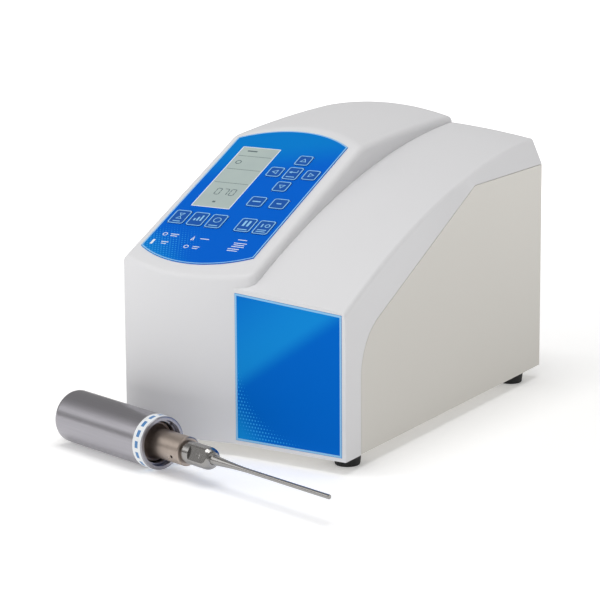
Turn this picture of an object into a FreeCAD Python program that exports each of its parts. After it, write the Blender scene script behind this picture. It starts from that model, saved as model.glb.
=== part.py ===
import FreeCAD, Part
import math
import os

# Ultrasonic cell disruptor: a bench generator in a moulded and sheet-steel case, and the
# hand-held converter with its microtip horn lying on the bench in front of it.
# Millimetres. +X is the viewer's right when facing the front, +Y goes to the rear, +Z up.
# The origin lies on the bench under the middle of the case.

# Case
case_width = 205.0
case_depth = 335.0
foot_height = 10.0
cover_wall = 3.0
sheet = 1.5
panel_gap = 0.4

# Plan of the front: a bowed part on the left and a flat part on the right, with a crease between
left_corner_y = -151.0
crease_x = 3.4
crease_y = -162.0
bow_sagitta = 9.0

# Shelf: the main top surface, arched from front to rear and crowned from side to side
shelf_top = 212.0
shelf_apex_y = 178.0
shelf_long_radius = 718.0
shelf_centre_x = -20.0
crown_radius_front = 1190.0
crown_radius_rear = 690.0
ridge_inset_front = 0.5
ridge_inset_rear = 9.0

# Console: the raised part on the left that carries the keypad, and its hump to the rear
console_right = 18.6
console_corner_radius = 9.0
console_slope = 22.95
console_foot_y = -138.2
console_foot_z = 149.7
hump_top = 224.3
hump_apex_y = 130.0
hump_long_radius = 1700.0
hump_crown_radius = 243.0
hump_centre_x = -42.5
console_edge_radius = 5.0
console_bend_radius = 18.0
ridge_radius = 3.0

# Seam between the moulded cover and the steel chassis, seen from the side
seam_kink_y = 43.5
seam_kink_z = 184.5
seam_rear_z = 182.2
seam_slope = 24.7
seam_front_y = -144.0
seam_corner_radius = 45.0
tongue_depth = 6.0
tongue_thickness = 2.0

# Front label
label_thickness = 0.5
label_recess = 0.4
label_left = 0.6
label_right = 95.8
label_bottom = 13.0
label_top_left = 127.6
label_top_right = 121.6

# Keypad overlay, in the console's own axes: x, then distance up the slope
overlay_left = 8.0 - case_width / 2
overlay_right = console_right - 11.8
overlay_length = 159.5
overlay_bow = 16.0
overlay_thickness = 0.8
fit_gap = 0.25
layout_width = 101.3


def from_right(reach):
    """Across the overlay: a distance from its right edge, for a film that is layout_width wide."""
    return overlay_right - reach * (overlay_right - overlay_left) / layout_width


lcd_left = from_right(88.8)
lcd_right = from_right(55.2)
lcd_bottom = 59.5
lcd_top = 146.4
lcd_rim = 2.0
lcd_glass_thickness = 3.0

# Keys
key_travel = 0.4
key_proud = 0.45
key_skin = 0.6
key_stem_radius = 1.8
key_stem_clearance = 0.4
key_corner_radius = 2.4
small_key = (13.2, 14.2)
tall_key = (13.6, 18.0)
wide_key = (14.4, 14.2)
mode_key = (14.6, 18.8)
key_layout = {
    "key_up": (from_right(26.8), 134.4, small_key),
    "key_left": (from_right(42.9), 115.2, small_key),
    "key_enter": (from_right(26.8), 115.2, tall_key),
    "key_right": (from_right(10.2), 115.2, small_key),
    "key_down": (from_right(26.8), 96.0, small_key),
    "key_mode": (from_right(36.6), 72.4, wide_key),
    "key_clear": (from_right(16.4), 72.4, wide_key),
    "key_timer": (from_right(89.7), 41.6, mode_key),
    "key_amplitude": (from_right(72.7), 41.2, mode_key),
    "key_setup": (from_right(55.7), 40.8, mode_key),
    "key_pause": (from_right(28.8), 40.0, mode_key),
    "key_start": (from_right(12.2), 39.4, mode_key),
}

# Keypad board under the console
board_thickness = 1.6
board_drop = 4.0
switch_height = 1.0
switch_radius = 3.0
boss_radius = 3.0
boss_inset = 4.4
board_overhang = 0.8
small_screw_radius = 1.3
small_screw_head_radius = 2.6
small_screw_head = 1.8

# Feet
foot_x = case_width / 2 - 14.5
foot_front_y = 28.5 - case_depth / 2
foot_rear_y = case_depth / 2 - 25.9
foot_bottom_radius = 9.6
foot_top_radius = 10.8
foot_screw_radius = 2.0
foot_screw_head_radius = 3.8
foot_screw_head = 2.4

# Rear panel fittings
fan_x = 56.5 - case_width / 2
fan_z = 112.0
fan_depth = 25.0
fan_bore_radius = 38.2
fan_hole_pitch = 71.5
fan_hole_to_edge = 4.25
fan_size = fan_hole_pitch + 2 * fan_hole_to_edge
fan_blade_count = 7
fan_hub_radius = 17.0
fan_shaft_radius = 1.5
shaft_clearance = 0.06
guard_wire_radius = 0.8
guard_rings = (12.0, 20.5, 29.0, 37.5)
inlet_x = case_width / 2 - 40.5
inlet_z = 46.0
inlet_width = 30.0
inlet_height = 42.0
inlet_flange = 3.0
inlet_body_depth = 24.0
socket_width = 24.4
socket_height = 16.6
socket_depth = 16.0
socket_rise = 8.0
drawer_width = 23.0
drawer_height = 7.0
drawer_length = 22.0
drawer_drop = 12.0
switch_x = inlet_x
switch_z = 98.0
switch_width = 22.0
switch_tall = 30.0
switch_body_inset = 1.2
rocker_length = 24.0
rocker_width = 16.4
rocker_gap_side = 0.4
rocker_gap_end = 0.8
rocker_tilt = 11.0
pivot_radius = 1.2
rf_x = 12.0
rf_z = 46.0
rf_barrel_radius = 8.0
rf_barrel_length = 12.0
io_x = fan_x
io_z = 42.0

# Handset: stations are distances along its axis from the front of the converter
handset_x = -25.6
handset_y = -219.1
handset_turn = -18.55
converter_radius = 20.5
converter_length = 109.0
converter_bore = 17.6
front_ring_bore = 16.1
front_ring_rear = -8.8
front_ring_front = -4.6
rear_edge_radius = 4.0
label_band_rear = -10.6
label_band_front = -1.2
label_band_thickness = 0.15
driver_radius = 11.1
driver_front = 31.0
driver_hole_station = 23.5
driver_hole_turn = 198.0
driver_hole_radius = 1.3
flange_radius = 15.6
flange_front = -9.0
flange_thickness = 4.0
flare_radius = 8.0
nodal_ring_radius = 1.0
stack_radius = 14.0
stack_bore = 5.2
disc_thickness = 5.0
electrode_thickness = 0.5
disc_count = 4
back_mass_length = 18.0
stack_bolt_radius = 5.0
horn_seat_gap = 0.1
horn_body_radius = 8.6
horn_body_end = 54.0
horn_shoulder_end = 60.0
horn_shoulder_radius = 4.2
horn_flats = 13.8
horn_flats_start = 39.5
horn_flats_turn = -20.0
horn_core_start = 51.0
horn_core_swell = 2.6
horn_swell_length = 11.0
taper_end = 100.0
taper_swell = 2.9
tip_radius = 1.75
tip_end = 186.6
stud_radius = 4.7
stud_bore_radius = 4.76
stud_length = 20.0
stud_in_horn = 9.0
rear_socket_radius = 7.0

half_width = case_width / 2
half_depth = case_depth / 2
V = FreeCAD.Vector
X_AXIS = V(1, 0, 0)
Y_AXIS = V(0, 1, 0)
Z_AXIS = V(0, 0, 1)


# Shared shapes

def block(x0, x1, y0, y1, z0, z1):
    return Part.makeBox(x1 - x0, y1 - y0, z1 - z0, V(x0, y0, z0))


def rod(radius, length, base, axis):
    return Part.makeCylinder(radius, length, base, axis)


def tube(outer, inner, length, base, axis):
    return rod(outer, length, base, axis).cut(rod(inner, length, base, axis))


def wire_face(edges):
    return Part.Face(Part.Wire(edges))


def line(a, b):
    return Part.makeLine(a, b)


def arc(a, through, b):
    return Part.Arc(a, through, b).toShape()


def rounded_plate(width, length, radius, thickness, centre_x, centre_y, z):
    plate = block(centre_x - width / 2, centre_x + width / 2,
                  centre_y - length / 2, centre_y + length / 2, z, z + thickness)
    uprights = [e for e in plate.Edges if abs(e.tangentAt(e.FirstParameter).z) > 0.9]
    return plate.makeFillet(radius, uprights)


def turned(points):
    """A solid of revolution about the X axis from (station, radius) corners."""
    start = [V(points[0][0], 0, 0)]
    outline = start + [V(s, r, 0) for s, r in points] + [V(points[-1][0], 0, 0)]
    face = Part.Face(Part.makePolygon(outline + start))
    return face.revolve(V(0, 0, 0), X_AXIS, 360)


def fused(shapes):
    whole = shapes[0]
    if len(shapes) > 1:
        whole = whole.multiFuse(shapes[1:])
    return whole.removeSplitter()


def save(name, shape):
    shape.exportStep("parts/" + name + ".step")


# Case form: the outer skin, or the same skin moved inwards by an offset

bow_chord_x = crease_x + half_width
bow_chord_y = crease_y - left_corner_y
bow_chord = math.hypot(bow_chord_x, bow_chord_y)
bow_radius = bow_chord ** 2 / (8 * bow_sagitta) + bow_sagitta / 2
bow_centre = V(
    (crease_x - half_width) / 2 - bow_chord_y / bow_chord * (bow_radius - bow_sagitta),
    (crease_y + left_corner_y) / 2 + bow_chord_x / bow_chord * (bow_radius - bow_sagitta), 0)
TALL = 300.0
console_tilt = FreeCAD.Rotation(X_AXIS, console_slope)
console_place = FreeCAD.Placement(V(0, console_foot_y, console_foot_z), console_tilt)


def on_console(shape):
    """Moves a shape from the console's own axes to its sloping face."""
    moved = shape.copy()
    moved.Placement = console_place.multiply(moved.Placement)
    return moved


def bow_y(x, inset):
    return bow_centre.y - math.sqrt((bow_radius - inset) ** 2 - (x - bow_centre.x) ** 2)


def bowed_prism(right, inset, base_z):
    """The upright prism behind the bowed front, from the left side to the plane x = right."""
    left = -half_width + inset
    rear = half_depth - inset
    middle = (left + right) / 2
    corners = [V(left, bow_y(left, inset), base_z), V(right, bow_y(right, inset), base_z),
               V(right, rear, base_z), V(left, rear, base_z)]
    front = arc(corners[0], V(middle, bow_y(middle, inset), base_z), corners[1])
    face = wire_face([front, line(corners[1], corners[2]), line(corners[2], corners[3]),
                      line(corners[3], corners[0])])
    return face.extrude(V(0, 0, TALL - base_z))


def flat_front_y(x, inset):
    slope = (crease_y + half_depth) / (crease_x - half_width)
    return -half_depth + (x - half_width) * slope + inset * math.hypot(1, slope)


def flat_front_prism(inset, base_z):
    right = half_width - inset
    left = crease_x - 1.0
    rear = half_depth - inset
    corners = [V(left, flat_front_y(left, inset), base_z), V(right, flat_front_y(right, inset), base_z),
               V(right, rear, base_z), V(left, rear, base_z), V(left, flat_front_y(left, inset), base_z)]
    return Part.Face(Part.makePolygon(corners)).extrude(V(0, 0, TALL - base_z))


def barrel(centre_x, apex_y, top, long_radius, crown_radius, inset):
    """A drum lying along X whose crowned rim is the surface; only its upper side is used."""
    reach = half_width + 60.0
    axis_z = top - long_radius
    crown = crown_radius - inset
    rim = top - inset
    drop = crown - math.sqrt(crown ** 2 - reach ** 2)
    floor = axis_z + long_radius * 0.5
    corners = [V(centre_x - reach, apex_y, rim - drop), V(centre_x, apex_y, rim),
               V(centre_x + reach, apex_y, rim - drop)]
    low = [V(centre_x + reach, apex_y, floor), V(centre_x - reach, apex_y, floor)]
    face = wire_face([arc(*corners), line(corners[2], low[0]), line(low[0], low[1]),
                      line(low[1], corners[0])])
    face.rotate(V(0, apex_y, axis_z), X_AXIS, -40)
    return face.revolve(V(0, apex_y, axis_z), X_AXIS, 80)


def share_back(y):
    return (y + half_depth) / case_depth


def shelf_height(x, y):
    """Height of the shelf's skin: a long arch whose crown tightens towards the rear."""
    bend_front = 1 / crown_radius_front
    bend = bend_front + share_back(y) * (1 / crown_radius_rear - bend_front)
    arch = (y - shelf_apex_y) ** 2 / (2 * shelf_long_radius)
    return shelf_top - arch - bend * (x - shelf_centre_x) ** 2 / 2


def spread(low, high, count):
    return [low + (high - low) * i / (count - 1) for i in range(count)]


def under_shelf(inset):
    """Everything below the shelf's skin, or below the same skin moved inwards."""
    margin = 12.0
    step = 0.5
    grid = []
    for x in spread(-half_width - margin, half_width + margin, 9):
        row = []
        for y in spread(-half_depth - margin, half_depth + margin, 17):
            z = shelf_height(x, y)
            slope_x = (shelf_height(x + step, y) - z) / step
            slope_y = (shelf_height(x, y + step) - z) / step
            normal = V(-slope_x, -slope_y, 1)
            normal.normalize()
            row.append(V(x, y, z) - normal * inset)
        grid.append(row)
    skin = Part.BSplineSurface()
    skin.interpolate(grid)
    return skin.toShape().extrude(V(0, 0, -TALL))


def ridge_inset(y):
    return ridge_inset_front + share_back(y) * (ridge_inset_rear - ridge_inset_front)


def seam_height(y):
    if y >= seam_kink_y:
        return seam_kink_z + (seam_rear_z - seam_kink_z) * (y - seam_kink_y) / (half_depth - seam_kink_y)
    return seam_kink_z - (seam_kink_y - y) * math.tan(math.radians(seam_slope))


def skirt_line(y, reach):
    """A point on the leaning line from the seam (reach 0) to the ridge (reach 1) and past it."""
    x = half_width - ridge_inset(y)
    foot = V(half_width, y, seam_height(y))
    return foot + (V(x, y, shelf_height(x, y)) - foot) * reach


def skirt_cutter(y0, y1, inset):
    """What lies outside the leaning skirt between the seam and the ridge, over one stretch."""
    past_ridge = 1.6
    high = Part.BSplineCurve()
    high.interpolate([skirt_line(y, past_ridge) for y in spread(y0, y1, 7)])
    low = line(skirt_line(y0, 0), skirt_line(y1, 0))
    cutter = Part.makeRuledSurface(low, high.toShape()).extrude(V(20, 0, 0))
    cutter.translate(V(-inset, 0, 0))
    return cutter


def console_form(inset):
    form = bowed_prism(console_right - inset, inset, 60.0)
    corner = [e for e in form.Edges
              if abs(e.tangentAt(e.FirstParameter).z) > 0.9
              and abs(e.CenterOfMass.x - (console_right - inset)) < 0.01 and e.CenterOfMass.y < 0]
    form = form.makeFillet(console_corner_radius - inset, corner)
    slab = block(-200, 200, -200, 400, -200, -inset)
    form = form.common(on_console(slab))
    hump = barrel(hump_centre_x, hump_apex_y, hump_top, hump_long_radius, hump_crown_radius, inset)
    return form.common(hump)


def case_form(inset, base_z, rounded):
    body = bowed_prism(crease_x, inset, base_z).fuse(flat_front_prism(inset, base_z))
    body = body.common(under_shelf(inset))
    front = skirt_cutter(-half_depth - 5, seam_kink_y, inset)
    rear = skirt_cutter(seam_kink_y, half_depth + 5, inset)
    body = body.cut(front).cut(rear)
    if rounded:
        body = round_ridge(body)
    console = console_form(inset)
    if rounded:
        console = round_console(console)
    return body.fuse(console)


def round_console(form):
    """Softens the bend at the top of the slope, then every edge round the console's top."""
    bend = [e for e in form.Edges if is_bend(e)]
    form = form.makeFillet(console_bend_radius, bend)
    rim = [e for e in form.Edges if is_console_rim(e)]
    return form.makeFillet(console_edge_radius, rim)


def is_bend(edge):
    centre = edge.CenterOfMass
    across = abs(edge.BoundBox.XLength - (console_right + half_width)) < 1.0
    return across and abs(centre.y) < 60 and centre.z > 190


def is_console_rim(edge):
    box = edge.BoundBox
    upright = box.ZLength > 50 and box.XLength < 0.5 and box.YLength < 0.5
    crossing = box.XLength > 100 and -60 < edge.CenterOfMass.y < 60
    return box.ZMin > 120 and not upright and not crossing


def round_ridge(body):
    ridge = [e for e in body.Edges
             if e.BoundBox.YLength > 60 and e.CenterOfMass.x > half_width - ridge_inset_rear - 1
             and e.CenterOfMass.z > shelf_height(95, e.CenterOfMass.y) - 5]
    return body.makeFillet(ridge_radius, ridge)


# Moulded cover

def seam_outline(shift):
    """The cover's side of the seam as a closed outline in the plane x = 0, moved past it by shift."""
    slope = math.radians(seam_slope)
    rear_slope = math.atan2(seam_rear_z - seam_kink_z, half_depth - seam_kink_y)
    half_bend = (slope - rear_slope) / 2
    lean = (slope + rear_slope) / 2
    reach = shift / math.cos(half_bend)
    kink = V(0, seam_kink_y + reach * math.sin(lean), seam_kink_z - reach * math.cos(lean))
    front = seam_front_y + shift
    low = kink.z - (kink.y - front) * math.tan(slope)
    radius = seam_corner_radius - shift
    run = radius * math.tan((math.pi / 2 - slope) / 2)
    corner_end = V(0, front + run * math.cos(slope), low + run * math.sin(slope))
    corner_start = V(0, front, low - run)
    centre = V(0, front + radius, corner_start.z)
    half_turn = math.pi - (math.pi / 2 - slope) / 2
    through = centre + V(0, math.cos(half_turn) * radius, math.sin(half_turn) * radius)
    bottom = V(0, front, -10)
    far = 250.0
    rear_z = kink.z + (far - kink.y) * math.tan(rear_slope)
    corners = [V(0, far, rear_z), V(0, far, TALL), V(0, -far, TALL), V(0, -far, -10), bottom]
    edges = [line(bottom, corner_start), arc(corner_start, through, corner_end),
             line(corner_end, kink), line(kink, corners[0])]
    edges += [line(a, b) for a, b in zip(corners[:-1], corners[1:])]
    return wire_face(edges)


def seam_zone(shift):
    zone = seam_outline(shift).extrude(V(case_width + 40, 0, 0))
    zone.translate(V(-half_width - 20, 0, 0))
    return zone


def label_axes():
    along = V(half_width - crease_x, -half_depth - crease_y, 0)
    along.normalize()
    return V(crease_x, crease_y, 0), along, V(along.y, -along.x, 0)


def label_plate(grow, depth_in, depth_out):
    """The label's outline on the flat front, from depth_in behind it to depth_out before it."""
    start, along, outward = label_axes()
    sides = [(label_left - grow, label_bottom - grow), (label_right + grow, label_bottom - grow),
             (label_right + grow, label_top_right + grow), (label_left - grow, label_top_left + grow)]
    corners = [start + along * s + V(0, 0, z) - outward * depth_in for s, z in sides]
    return Part.Face(Part.makePolygon(corners + corners[:1])).extrude(outward * (depth_in + depth_out))


def key_plate(name, grow, thickness, lift):
    x, along, (width, height) = key_layout[name]
    return rounded_plate(width + 2 * grow, height + 2 * grow, key_corner_radius + grow, thickness,
                         x, along, lift)


def board_bosses():
    left = overlay_left + boss_inset
    right = overlay_right - boss_inset
    middle = from_right(48.3)
    return [(left, 12.0), (left, overlay_length - 9.5), (right, 12.0), (right, overlay_length - 9.5),
            (middle, 20.0), (middle, 90.0)]


def cover():
    outer = case_form(0.0, foot_height, True)
    inner = case_form(cover_wall, foot_height - 20, False)
    shell = outer.cut(inner).common(seam_zone(0.0))
    band = seam_zone(tongue_depth).cut(seam_zone(-tongue_depth))
    inside = half_width - sheet - 0.3
    plates = block(inside - tongue_thickness, inside, -half_depth, half_depth - 3, foot_height + 3, 190)
    plates = plates.fuse(plates.mirror(V(0, 0, 0), X_AXIS))
    tongue = plates.common(band).common(case_form(1.2, foot_height, False))
    rear_tongue = block(-72, 72, half_depth - sheet - 0.1 - cover_wall, half_depth - sheet - 0.1,
                        seam_rear_z - 14, seam_rear_z + 3)
    shell = shell.multiFuse([tongue, rear_tongue])
    shell = shell.cut(label_plate(0.1, label_recess, 2.0))
    lift = -cover_wall - 0.5
    for name, (x, along, size) in key_layout.items():
        shaft = rod(key_stem_radius + key_stem_clearance, 8, V(x, along, lift - 1), Z_AXIS)
        shell = shell.cut(on_console(shaft))
    window = block(lcd_left + lcd_rim, lcd_right - lcd_rim, lcd_bottom + lcd_rim, lcd_top - lcd_rim, -8, 4)
    shell = shell.cut(on_console(window))
    bosses = [rod(boss_radius, board_drop + 0.5, V(x, along, -cover_wall - board_drop), Z_AXIS)
              for x, along in board_bosses()]
    shell = shell.multiFuse([on_console(boss) for boss in bosses])
    holes = [rod(small_screw_radius, board_drop + 1, V(x, along, -cover_wall - board_drop), Z_AXIS)
             for x, along in board_bosses()]
    for hole in holes:
        shell = shell.cut(on_console(hole))
    for x in cover_screw_x:
        shell = shell.cut(rod(small_screw_radius, 8, V(x, half_depth - 7, cover_screw_z), Y_AXIS))
    return shell.removeSplitter()


cover_screw_x = (-60.0, 0.0, 60.0)
cover_screw_z = seam_rear_z - 7


# Keypad overlay, window, keys and board, all in the console's axes

def overlay_outline(inset, base):
    left = overlay_left + inset
    right = overlay_right - inset
    low = inset
    high = overlay_length - inset
    middle = (left + right) / 2
    return wire_face([
        arc(V(left, low, base), V(middle, low - overlay_bow, base), V(right, low, base)),
        line(V(right, low, base), V(right, high, base)),
        arc(V(right, high, base), V(middle, high + overlay_bow, base), V(left, high, base)),
        line(V(left, high, base), V(left, low, base))])


def keypad_overlay():
    sheet_shape = overlay_outline(0.0, 0.0).extrude(V(0, 0, overlay_thickness))
    sheet_shape = sheet_shape.cut(block(lcd_left, lcd_right, lcd_bottom, lcd_top, -1, 2))
    for name in key_layout:
        sheet_shape = sheet_shape.cut(key_plate(name, fit_gap, 3, -1))
    return on_console(sheet_shape)


def lcd_window():
    gap = 0.05
    width = lcd_right - lcd_left - 2 * gap
    height = lcd_top - lcd_bottom - 2 * gap
    return on_console(rounded_plate(width, height, 0.4, overlay_thickness, (lcd_left + lcd_right) / 2,
                                    (lcd_bottom + lcd_top) / 2, 0.0))


def board_top():
    return -cover_wall - board_drop


def lcd_module():
    rim = lcd_rim + fit_gap
    glass = block(lcd_left + rim, lcd_right - rim, lcd_bottom + rim, lcd_top - rim,
                  -lcd_glass_thickness - 0.4, -0.4)
    frame = block(lcd_left - 1, lcd_right + 1, lcd_bottom - 3, lcd_top + 1,
                  board_top(), -cover_wall - 0.3)
    return on_console(glass.fuse(frame).removeSplitter())


def key(name):
    x, along, size = key_layout[name]
    base = overlay_thickness + key_proud - key_skin
    cap = key_plate(name, 0.0, key_skin, base)
    top_edges = [e for e in cap.Edges if e.CenterOfMass.z > base + key_skin - 0.01]
    cap = cap.makeFillet(0.3, top_edges)
    foot = board_top() + switch_height + key_travel + 0.1
    stem = rod(key_stem_radius, base - foot + 0.1, V(x, along, foot), Z_AXIS)
    return on_console(cap.fuse(stem).removeSplitter())


def keypad_board():
    top = board_top()
    board = block(overlay_left - board_overhang, overlay_right + board_overhang, 4, overlay_length - 2.5,
                  top - board_thickness, top)
    for x, along in board_bosses():
        board = board.cut(rod(small_screw_radius + 0.1, 4, V(x, along, top - 3), Z_AXIS))
    return on_console(board)


def dome_switches():
    domes = [rod(switch_radius, switch_height, V(x, along, board_top()), Z_AXIS)
             for x, along, size in key_layout.values()]
    return Part.makeCompound([on_console(dome) for dome in domes])


def board_screws():
    under = board_top() - board_thickness
    screws = []
    for x, along in board_bosses():
        shank = rod(small_screw_radius - 0.05, board_thickness + board_drop, V(x, along, under), Z_AXIS)
        head = rod(small_screw_head_radius, small_screw_head, V(x, along, under - small_screw_head), Z_AXIS)
        slot = block(x - 0.3, x + 0.3, along - 4, along + 4, under - small_screw_head - 1,
                     under - small_screw_head + 0.7)
        screws.append(on_console(shank.fuse(head).cut(slot)))
    return Part.makeCompound(screws)


# Steel chassis, rear panel and feet

def chassis():
    zone = seam_zone(panel_gap)
    rear = half_depth - 0.05
    sides = []
    for inner in (half_width - sheet, -half_width):
        side = block(inner, inner + sheet, -half_depth, rear, foot_height, TALL).cut(zone)
        sides.append(side)
    base = block(-half_width, half_width, seam_front_y + panel_gap, rear, foot_height, foot_height + sheet)
    inset = cover_wall + panel_gap
    nose = bowed_prism(crease_x, inset, foot_height).fuse(flat_front_prism(inset, foot_height))
    nose = nose.common(block(-half_width, half_width, -half_depth, seam_front_y + 1, foot_height,
                             foot_height + sheet))
    tray = fused([base, nose] + sides)
    folds = [e for e in tray.Edges
             if e.BoundBox.YLength > 200 and abs(e.CenterOfMass.z - foot_height) < 0.01
             and abs(abs(e.CenterOfMass.x) - half_width) < 0.01]
    tray = tray.makeFillet(sheet * 0.8, folds)
    for x, y in foot_places():
        tray = tray.cut(rod(foot_screw_radius + 0.1, 6, V(x, y, foot_height - 2), Z_AXIS))
    for row in range(2):
        for column in range(9):
            x = -64 + column * 16
            y = -88 + row * 34
            slot = rounded_plate(5, 26, 2.45, 6, x, y, foot_height - 2)
            tray = tray.cut(slot)
    return tray


def foot_places():
    return [(x, y) for x in (-foot_x, foot_x) for y in (foot_front_y, foot_rear_y)]


def feet():
    shapes = []
    for x, y in foot_places():
        foot = Part.makeCone(foot_bottom_radius, foot_top_radius, foot_height, V(x, y, 0), Z_AXIS)
        sole = [e for e in foot.Edges if abs(e.CenterOfMass.z) < 0.01 and len(e.Vertexes) == 1]
        foot = foot.makeFillet(1.2, sole)
        recess = rod(foot_screw_head_radius + 0.4, 4.0, V(x, y, 0), Z_AXIS)
        hole = rod(foot_screw_radius + 0.05, foot_height, V(x, y, 0), Z_AXIS)
        shapes.append(foot.cut(recess).cut(hole))
    return Part.makeCompound(shapes)


def foot_screws():
    shapes = []
    for x, y in foot_places():
        shank = rod(foot_screw_radius, foot_height + 0.5, V(x, y, 4.0), Z_AXIS)
        head = rod(foot_screw_head_radius, foot_screw_head, V(x, y, 4.0 - foot_screw_head), Z_AXIS)
        cross = block(x - 2.4, x + 2.4, y - 0.5, y + 0.5, 0, 4.0 - foot_screw_head + 1.0)
        cross = cross.fuse(block(x - 0.5, x + 0.5, y - 2.4, y + 2.4, 0, 4.0 - foot_screw_head + 1.0))
        shapes.append(shank.fuse(head).cut(cross))
    return Part.makeCompound(shapes)


panel_inner = half_depth - sheet


def fan_holes():
    reach = fan_hole_pitch / 2
    return [(fan_x + dx * reach, fan_z + dz * reach) for dx in (-1, 1) for dz in (-1, 1)]


def rear_panel():
    side = half_width - sheet - 0.1
    low = foot_height + sheet + 0.05
    panel = block(-side, side, panel_inner, half_depth, low, seam_rear_z - panel_gap)
    flange = block(side - 1.2, side, panel_inner - 11, panel_inner + 0.5, low + 2, seam_rear_z - 20)
    panel = panel.fuse(flange).fuse(flange.mirror(V(0, 0, 0), X_AXIS))
    cuts = [rod(fan_bore_radius - 0.6, 6, V(fan_x, panel_inner - 2, fan_z), Y_AXIS)]
    cuts += [rod(2.1, 6, V(x, panel_inner - 2, z), Y_AXIS) for x, z in fan_holes()]
    cuts.append(block(inlet_x - inlet_width / 2 + 1.9, inlet_x + inlet_width / 2 - 1.9,
                      panel_inner - 2, half_depth + 2,
                      inlet_z - inlet_height / 2 + 1.9, inlet_z + inlet_height / 2 - 1.9))
    hole_x = switch_width / 2 - switch_body_inset + 0.1
    hole_z = switch_tall / 2 - switch_body_inset + 0.1
    cuts.append(block(switch_x - hole_x, switch_x + hole_x, panel_inner - 2, half_depth + 2,
                      switch_z - hole_z, switch_z + hole_z))
    cuts.append(rod(rf_barrel_radius + 0.2, 6, V(rf_x, panel_inner - 2, rf_z), Y_AXIS))
    cuts.append(block(io_x - 9.2, io_x + 9.2, panel_inner - 2, half_depth + 2, io_z - 4.9, io_z + 4.9))
    cuts += [rod(1.7, 6, V(x, panel_inner - 2, cover_screw_z), Y_AXIS) for x in cover_screw_x]
    for row in range(5):
        slot = rounded_plate(44, 3.2, 1.55, 6, switch_x - 4, 0, 0)
        slot.rotate(V(0, 0, 0), X_AXIS, 90)
        slot.translate(V(0, half_depth + 2, 132 + row * 7))
        cuts.append(slot)
    for cut in cuts:
        panel = panel.cut(cut)
    return panel


def cover_screws():
    shapes = []
    for x in cover_screw_x:
        shank = rod(small_screw_radius - 0.05, 6.5, V(x, half_depth - 6.5, cover_screw_z), Y_AXIS)
        head = rod(small_screw_head_radius, small_screw_head, V(x, half_depth, cover_screw_z), Y_AXIS)
        slot = block(x - 3, x + 3, half_depth + 1.0, half_depth + 3,
                     cover_screw_z - 0.35, cover_screw_z + 0.35)
        slot = slot.fuse(block(x - 0.35, x + 0.35, half_depth + 1.0, half_depth + 3,
                               cover_screw_z - 3, cover_screw_z + 3))
        shapes.append(shank.fuse(head).cut(slot))
    return Part.makeCompound(shapes)


# Fan

def fan_frame():
    front = panel_inner - fan_depth
    body = rounded_plate(fan_size, fan_size, 4.0, fan_depth, 0, 0, 0)
    body.rotate(V(0, 0, 0), X_AXIS, 90)
    body.translate(V(fan_x, panel_inner, fan_z))
    body = body.cut(rod(fan_bore_radius, fan_depth + 2, V(fan_x, front - 1, fan_z), Y_AXIS))
    corner = fan_hole_pitch / 2
    for dx, dz in ((-1, -1), (-1, 1), (1, -1), (1, 1)):
        hole = rod(2.1, fan_depth + 2, V(fan_x + dx * corner, front - 1, fan_z + dz * corner), Y_AXIS)
        body = body.cut(hole)
    hub = rod(fan_hub_radius, 3.0, V(fan_x, front, fan_z), Y_AXIS)
    for turn in (20, 110, 200, 290):
        strut = block(fan_hub_radius - 2, fan_bore_radius + 0.5, front, front + 3.0, -2, 2)
        strut.rotate(V(0, 0, 0), Y_AXIS, turn)
        strut.translate(V(fan_x, 0, fan_z))
        hub = hub.fuse(strut)
    sleeve = rod(4.0, 12.0, V(fan_x, front, fan_z), Y_AXIS)
    body = body.fuse(hub).fuse(sleeve)
    bore = rod(fan_shaft_radius + shaft_clearance, 13.0, V(fan_x, front - 0.5, fan_z), Y_AXIS)
    return body.cut(bore).removeSplitter()


def fan_rotor():
    front = panel_inner - fan_depth
    hub_front = front + 3.6
    hub_rear = panel_inner - 1.6
    hub = rod(fan_hub_radius, hub_rear - hub_front, V(fan_x, hub_front, fan_z), Y_AXIS)
    dome = [e for e in hub.Edges if abs(e.CenterOfMass.y - hub_rear) < 0.01 and len(e.Vertexes) == 1]
    hub = hub.makeFillet(1.5, dome)
    hollow = rod(4.6, hub_rear - hub_front - 5.0, V(fan_x, hub_front - 0.1, fan_z), Y_AXIS)
    hub = hub.cut(hollow)
    shaft = rod(fan_shaft_radius, hub_rear - front - 3.0, V(fan_x, front + 1.0, fan_z), Y_AXIS)
    blades = []
    for number in range(fan_blade_count):
        blade = block(fan_hub_radius - 1.2, fan_bore_radius - 1.2, -8.5, 8.5, -0.8, 0.8)
        blade.rotate(V(0, 0, 0), X_AXIS, 38)
        blade.rotate(V(0, 0, 0), Y_AXIS, number * 360.0 / fan_blade_count)
        blade.translate(V(fan_x, (hub_front + hub_rear) / 2, fan_z))
        blades.append(blade)
    sweep = rod(fan_bore_radius - 1.0, hub_rear - hub_front, V(fan_x, hub_front, fan_z), Y_AXIS)
    rotor = hub.multiFuse([shaft] + blades)
    return rotor.common(sweep.fuse(shaft)).removeSplitter()


def fan_guard():
    wire = guard_wire_radius
    plane = half_depth + wire + 1.6
    shapes = [Part.makeTorus(r, wire, V(fan_x, plane, fan_z), Y_AXIS) for r in guard_rings]
    reach = fan_hole_pitch / 2
    for dx, dz in ((-1, -1), (-1, 1), (1, -1), (1, 1)):
        outward = V(dx, 0, dz)
        outward.normalize()
        start = V(fan_x, plane - 1.6 + 0.1, fan_z) + outward * guard_rings[0]
        shapes.append(rod(wire, reach * math.sqrt(2) - guard_rings[0] - 4.0, start, outward))
        shapes.append(tube(4.6, 2.3, 1.6, V(fan_x + dx * reach, half_depth, fan_z + dz * reach), Y_AXIS))
    return fused(shapes)


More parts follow.
